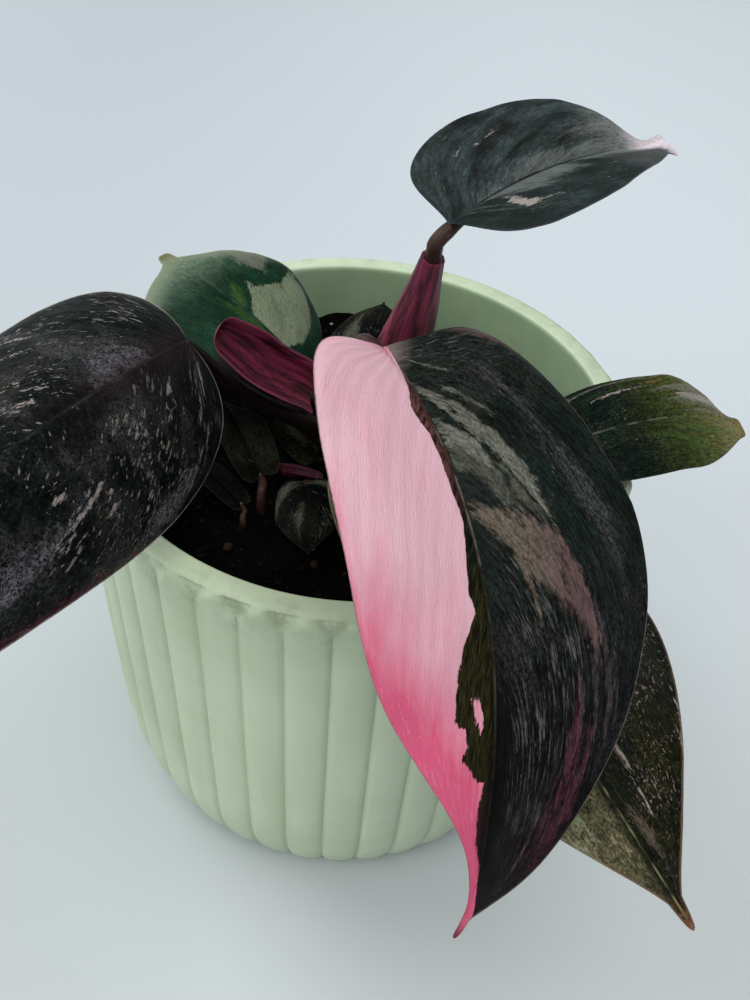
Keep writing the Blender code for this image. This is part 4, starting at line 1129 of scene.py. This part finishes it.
def tube(name, line, radii, node, finish, sides=20, furrow=0.0, rings=()):
    """A round stalk along a line, with a shallow furrow on its upper side and rounded ends."""
    along = np.gradient(line, axis=0)
    along /= np.linalg.norm(along, axis=1)[:, None]
    side = np.cross(along[0], (0.3, 0.2, 0.93))
    side /= np.linalg.norm(side)
    a = np.arange(sides) * 2 * pi / sides
    run = np.concatenate([[0], np.cumsum(np.linalg.norm(np.diff(line, axis=0), axis=1))])
    points = []
    for k, middle in enumerate(line):
        side = side - along[k] * (side @ along[k])
        side /= np.linalg.norm(side)
        up = np.cross(side, along[k])
        swell = 1 + sum(0.16 * np.exp(-((run[k] - at) / 0.9) ** 2) for at in rings)
        dent = furrow * np.exp(-((a - pi / 2) / 0.5) ** 2)
        r = radii[k] * swell * (1 - dent + 0.03 * np.sin(5 * a + k * 0.1))
        points.append(middle + np.outer(r * np.cos(a), side) + np.outer(r * np.sin(a), up))
    points = np.array(points)
    foot = line[0] - along[0] * radii[0] * 0.4 + 0 * points[0]
    head = line[-1] + along[-1] * radii[-1] * 0.5 + 0 * points[0]
    points = np.concatenate([foot[None], points, head[None]])
    reach = np.concatenate([[0], run, [run[-1]]]) / run[-1]
    across = (np.arange(sides) / sides)[None, :] + 0 * reach[:, None]
    mirrored = 1 - np.abs(2 * across - 1)
    maps = {"run": np.stack([(mirrored * pi * 2 * np.mean(radii) / 10).ravel(),
                             (reach[:, None] * run[-1] / 10 + 0 * across).ravel()], axis=1) + (len(name), 0)}
    faces = grid_faces(len(points), sides, wrap=True)
    fields = {"reach": (reach[:, None] + 0 * across).ravel()}
    mesh = build_mesh(name, points.reshape(-1, 3), faces, 70, maps, fields)
    keep(name, mesh, node, [finish])


def stalk_line(stalk, leaf):
    """The line and radii of a stalk from its foot to where it fades out under the midrib."""
    foot, top = stalk["thick"]
    keys = list(stalk["by"])
    point, ahead, _, up = (a for a in lay_blade(leaf, 0.0, 0.0))
    keys.append(tuple(point - ahead * 2.2 * top - up * (1.7 * top)))
    for part in (0.01, stalk["under"] / 2, stalk["under"]):
        point, _, _, up = lay_blade(leaf, 0.0, part * leaf["length"])
        drop = top * (0.85 - 0.45 * part / stalk["under"]) + 0.25
        keys.append(tuple(point - up * drop))
    line, t = smooth_line(keys, 90)
    span = sum(np.linalg.norm(np.subtract(a, b)) for a, b in zip(keys, keys[1:]))
    reach = 1 - stalk["under"] * leaf["length"] / span
    radii = np.where(t < reach, foot + (top - foot) * np.minimum(t / reach, 1) ** 0.8,
                     top * (1 - 0.72 * (t - reach) / (1 - reach)))
    return line, radii


def make_sheath(name, sheath, finish):
    """A leaf sheath: a thin trough or open tube with lengthwise ridges and turned-out edges."""
    rows, columns = 84, 56
    line, t = smooth_line(sheath["by"], rows + 1)
    keys = np.linspace(0, 1, len(sheath["radius"]))
    smooth = lambda values: np.interp(t, keys, values) * 0.5 + 0.25 * (
        np.interp(np.clip(t - 0.1, 0, 1), keys, values) + np.interp(np.clip(t + 0.1, 0, 1), keys, values))
    radius, wrap = smooth(sheath["radius"]), np.radians(smooth(sheath["wrap"]))
    for end, reach in zip((t, 1 - t), sheath["ends"]):
        if reach:
            radius = radius * np.sqrt(np.clip(1 - np.maximum(0, 1 - end / reach) ** 2.2, 0.02, 1))
    along = np.gradient(line, axis=0)
    along /= np.linalg.norm(along, axis=1)[:, None]
    face = np.array(sheath["open"], float)
    front = face - along * (along @ face)[:, None]
    front /= np.linalg.norm(front, axis=1)[:, None]
    side = np.cross(front, along)
    j = np.linspace(-0.5, 0.5, columns + 1)[None, :]
    a = wrap[:, None] * j
    lip = np.clip((np.abs(j) - 0.42) / 0.08, 0, 1)
    flat = np.stack([j * 2 + 0 * a, 2.2 * t[:, None] + 0 * a, 0 * a], axis=-1)
    flow = 2 * pi * (6 * j + 0.5 * bumps(flat, 1.0))
    ridge = 0.09 * np.cos(flow + 3 * j) * (1 - lip)
    flat = np.stack([a * 3, 6 * t[:, None] + 0 * a, 0 * a + len(name)], axis=-1)
    r = radius[:, None] * (1 + 0.03 * bumps(flat, 2.4)) + ridge * np.minimum(1, radius[:, None] / 4) \
        + sheath["flare"] * lip ** 2
    across, back = np.sin(a)[..., None], np.cos(a)[..., None]
    side, front, r = side[:, None], front[:, None], r[..., None]
    wall = line[:, None] + r * across * side - r * back * front
    out = across * side - back * front
    thick = ((0.55 - 0.35 * lip) * np.ones_like(a))[..., None]
    outer, inner = wall + out * thick / 2, wall - out * thick / 2
    n = outer[..., 0].size
    points = np.concatenate([outer.reshape(-1, 3), inner.reshape(-1, 3)])
    width = columns + 1
    faces = [grid_faces(rows + 1, width), grid_faces(rows + 1, width, n, flip=True)]
    for start, stride, count in ((0, width, rows), (columns, width, rows), (0, 1, columns),
                                 (rows * width, 1, columns)):
        k = start + stride * np.arange(count)
        faces.append(np.stack([k, k + stride, k + stride + n, k + n], axis=1))
    run = np.linalg.norm(line[-1] - line[0])
    places = np.stack([(a * radius.mean() / 10).ravel(), (t[:, None] * run / 10 + 0 * a).ravel()], axis=1)
    maps = {"run": np.tile(places, (2, 1))}
    fold = (0.5 - np.abs(j)) * wrap[:, None] * radius[:, None]
    fields = {"fold": np.tile(fold.ravel(), 2)}
    mesh = build_mesh("sheath_" + name, points, np.concatenate(faces), 60, maps, fields)
    keep("sheath_skin_" + name, mesh, "sheath_" + name, [finish])


# ---- Operators ----------------------------------------------------------------------------------


class POTPLANT_OT_stage(Operator):
    """Build the floor, the lights and the camera"""
    bl_idname = "potplant.stage"
    bl_label = "Floor, light and camera"

    def execute(self, context):
        settings = context.scene.potplant_studio
        link = context.scene.collection.objects.link
        mesh = bpy.data.meshes.new("floor")
        shape = bmesh.new()
        bmesh.ops.create_grid(shape, x_segments=2, y_segments=2, size=FLOOR_REACH)
        shape.to_mesh(mesh)
        shape.free()
        f = Finish("pale_floor", settings.floor, 0.55)
        where = f.place()
        x, y = (f.add("SeparateXYZ", {0: where}, out) for out in (0, 1))
        # Painted shade and light: the floor is darker towards the front, lighter to the right and darker to
        # the left.
        f.wash(y.step(0.30, -0.20), tuple(c * k for c, k in zip(settings.floor, (0.96, 0.93, 0.89))))
        f.ground = f.blend(x.step(-0.25, 0.20), f.blend(1.0, f.ground, (0.93, 0.93, 0.93), "MULTIPLY"),
                           f.blend(1.0, f.ground, (1.15, 1.14, 1.13), "MULTIPLY"))
        f.wash(f.noise(where, 1.5, 2.0).step(0.3, 0.7, 0.0, 0.02), (1.0, 1.0, 1.0))
        mesh.materials.append(f.dress(Specular_IOR_Level=0.2))
        floor = bpy.data.objects.new("floor", mesh)
        floor.location.z = -FLOOR_GAP
        link(floor)

        world = bpy.data.worlds.new("studio")
        world.use_nodes = True
        context.scene.world = world
        tree = world.node_tree
        where, split, ramp, mix = (tree.nodes.new("ShaderNode" + kind)
                                   for kind in ("TexCoord", "SeparateXYZ", "MapRange", "Mix"))
        back = tree.nodes["Background"]
        mix.data_type = "RGBA"
        ramp.interpolation_type = "SMOOTHSTEP"
        ramp.inputs["From Min"].default_value, ramp.inputs["From Max"].default_value = SKY_RAMP
        mix.inputs[6].default_value, mix.inputs[7].default_value = SKY_DARK, SKY_LIGHT
        for out, into in ((where.outputs["Generated"], split.inputs[0]),
                          (split.outputs["X"], ramp.inputs["Value"]), (ramp.outputs[0], mix.inputs[0]),
                          (mix.outputs[2], back.inputs["Color"])):
            tree.links.new(out, into)
        back.inputs["Strength"].default_value = settings.sky

        for name, place, size, share, colour in LAMPS:
            light = bpy.data.lights.new(name, "AREA")
            light.shape, light.size, light.energy, light.color = "DISK", size, settings.window * share, colour
            lamp = bpy.data.objects.new(name, light)
            lamp.location = place
            lamp.rotation_euler = (Vector(LAMP_AIM) - Vector(place)).to_track_quat("-Z", "Y").to_euler()
            link(lamp)

        yaw, pitch, roll = (radians(angle) for angle in CAMERA_TURN)
        back_way = Vector((sin(yaw) * cos(pitch), -cos(yaw) * cos(pitch), sin(pitch)))
        right = Vector((cos(yaw), sin(yaw), 0.0))
        up = back_way.cross(right)
        right, up = cos(roll) * right + sin(roll) * up, -sin(roll) * right + cos(roll) * up
        data = bpy.data.cameras.new("camera")
        data.lens, data.sensor_width, data.clip_start = settings.lens, 36.0, 0.01
        camera = bpy.data.objects.new("camera", data)
        turn = Matrix((right, up, back_way)).transposed().to_4x4()
        camera.matrix_world = Matrix.Translation(CAMERA_AT) @ turn
        link(camera)
        context.scene.camera = camera
        context.scene.view_settings.view_transform = "Standard"
        context.scene.view_settings.look = "None"
        return {"FINISHED"}


class POTPLANT_OT_pot(Operator):
    """Build the ribbed pot"""
    bl_idname = "potplant.pot"
    bl_label = "Pot"

    def execute(self, context):
        make_pot(context.scene.potplant_pot)
        return {"FINISHED"}


class POTPLANT_OT_soil(Operator):
    """Build the soil with its crumbs, pale grains and bits of bark"""
    bl_idname = "potplant.soil"
    bl_label = "Soil"

    def execute(self, context):
        settings = context.scene.potplant_soil
        make_soil(settings)
        for name, count, sizes, flat, seed, skin, colour in (
                ("soil_crumbs", settings.crumbs, (0.3, 1.2), 0.5, 11, "soil_crumb", settings.soil),
                ("soil_perlite", 13, (0.4, 1.3), 0.8, 5, "pale_perlite", settings.perlite),
                ("soil_bark", 9, (0.6, 1.8), 0.35, 8, "red_bark", settings.bark)):
            lumps(name, count, *sizes, flat, seed, grain_finish(skin, colour))
        return {"FINISHED"}


class POTPLANT_OT_stalks(Operator):
    """Build the main stem and the stalk of every leaf"""
    bl_idname = "potplant.stalks"
    bl_label = "Stem and stalks"

    def execute(self, context):
        settings = context.scene.potplant_stalks
        wine = stalk_finish("stalk_wine_skin", settings.wine, settings.brown)
        # Painted shade: the left stalk lies in shadow under its sheath, so it gets a darker copy of the wine
        # skin.
        dark = stalk_finish("stalk_dark_skin", (0.006, 0.0022, 0.0022), (0.012, 0.004, 0.005))
        bark = stalk_finish("stem_bark", (0.035, 0.035, 0.018), (0.05, 0.03, 0.02))
        line, _ = smooth_line([(*STEM_AT, z) for z in (86, 100, 111, 117, 123, 127.5)], 60)
        radii = np.interp(line[:, 2], [z for z, _ in STEM_RADII], [radius for _, radius in STEM_RADII])
        tube("stem_main", line, radii, "stem", bark, sides=28, rings=STEM_RINGS)
        for name, stalk in STALKS.items():
            line, radii = stalk_line(stalk, LEAVES[name])
            # The left stalk takes the darker skin, which is painted shade.
            skin = dark if name == "left" else wine
            tube("stalk_skin_" + name, line, radii, "stalk_" + name, skin, furrow=0.14)
        return {"FINISHED"}


class POTPLANT_OT_sheaths(Operator):
    """Build the crimson sheaths"""
    bl_idname = "potplant.sheaths"
    bl_label = "Sheaths"

    def execute(self, context):
        settings = context.scene.potplant_stalks
        for name, sheath in SHEATHS.items():
            # Painted shade: the foot sheath low in the pot gets a darker copy of the crimson skin, a quarter
            # as bright.
            make_sheath(name, sheath, sheath_finish(settings, name, 0.25 if name == "foot" else 1.0))
        return {"FINISHED"}


class POTPLANT_OT_front_leaf(Operator):
    """Build the large leaf at the front, one half of it pink"""
    bl_idname = "potplant.front_leaf"
    bl_label = "Half-pink leaf"

    def execute(self, context):
        settings = context.scene.potplant_leaves
        make_leaf("front", settings, settings.black_green)
        return {"FINISHED"}


class POTPLANT_OT_dark_leaves(Operator):
    """Build the other large leaves, near-black green with pale flecks"""
    bl_idname = "potplant.dark_leaves"
    bl_label = "Dark leaves"

    def execute(self, context):
        settings = context.scene.potplant_leaves
        for name in ("left", "top", "right", "low"):
            make_leaf(name, settings, settings.black_green)
        return {"FINISHED"}


class POTPLANT_OT_green_leaf(Operator):
    """Build the round green leaf with cream patches at the back"""
    bl_idname = "potplant.green_leaf"
    bl_label = "Green and cream leaf"

    def execute(self, context):
        settings = context.scene.potplant_leaves
        make_leaf("back", settings, settings.leaf_green)
        return {"FINISHED"}


class POTPLANT_OT_small_leaves(Operator):
    """Build the five small leaves low in the pot"""
    bl_idname = "potplant.small_leaves"
    bl_label = "Small leaves"

    def execute(self, context):
        settings = context.scene.potplant_leaves
        for name in LEAVES:
            if name.startswith("bud_"):
                # Painted shade: the small leaves lie in deep shade low in the pot, so their ground is the
                # black green at 0.4 of its brightness.
                make_leaf(name, settings, shaded(settings.black_green, 0.4))
        return {"FINISHED"}


class POTPLANT_PT_sidebar(Panel):
    """Lists the pieces of the plant and their settings"""
    bl_idname = "POTPLANT_PT_sidebar"
    bl_label = "Philodendron"
    bl_space_type = "VIEW_3D"
    bl_region_type = "UI"
    bl_category = "Philodendron"

    def draw(self, context):
        for operator in OPERATORS:
            self.layout.operator(operator.bl_idname)
        for key, group in GROUPS.items():
            box = self.layout.box()
            for name in group.__annotations__:
                box.prop(getattr(context.scene, key), name)


OPERATORS = (
    POTPLANT_OT_stage, POTPLANT_OT_pot, POTPLANT_OT_soil, POTPLANT_OT_stalks, POTPLANT_OT_sheaths,
    POTPLANT_OT_front_leaf, POTPLANT_OT_dark_leaves, POTPLANT_OT_green_leaf, POTPLANT_OT_small_leaves)
GROUPS = {"potplant_pot": PotSettings, "potplant_soil": SoilSettings, "potplant_leaves": LeafSettings,
          "potplant_stalks": StalkSettings, "potplant_studio": StudioSettings}


def register():
    for group in GROUPS.values():
        bpy.utils.register_class(group)
    for key, group in GROUPS.items():
        setattr(bpy.types.Scene, key, PointerProperty(type=group))
    for operator in OPERATORS:
        bpy.utils.register_class(operator)
    bpy.utils.register_class(POTPLANT_PT_sidebar)


def unregister():
    bpy.utils.unregister_class(POTPLANT_PT_sidebar)
    for operator in reversed(OPERATORS):
        bpy.utils.unregister_class(operator)
    for key, group in GROUPS.items():
        delattr(bpy.types.Scene, key)
        bpy.utils.unregister_class(group)


def main():
    register()
    for operator in OPERATORS:
        family, name = operator.bl_idname.split(".")
        getattr(getattr(bpy.ops, family), name)()
    bpy.context.view_layer.update()


if __name__ == "__main__":
    main()
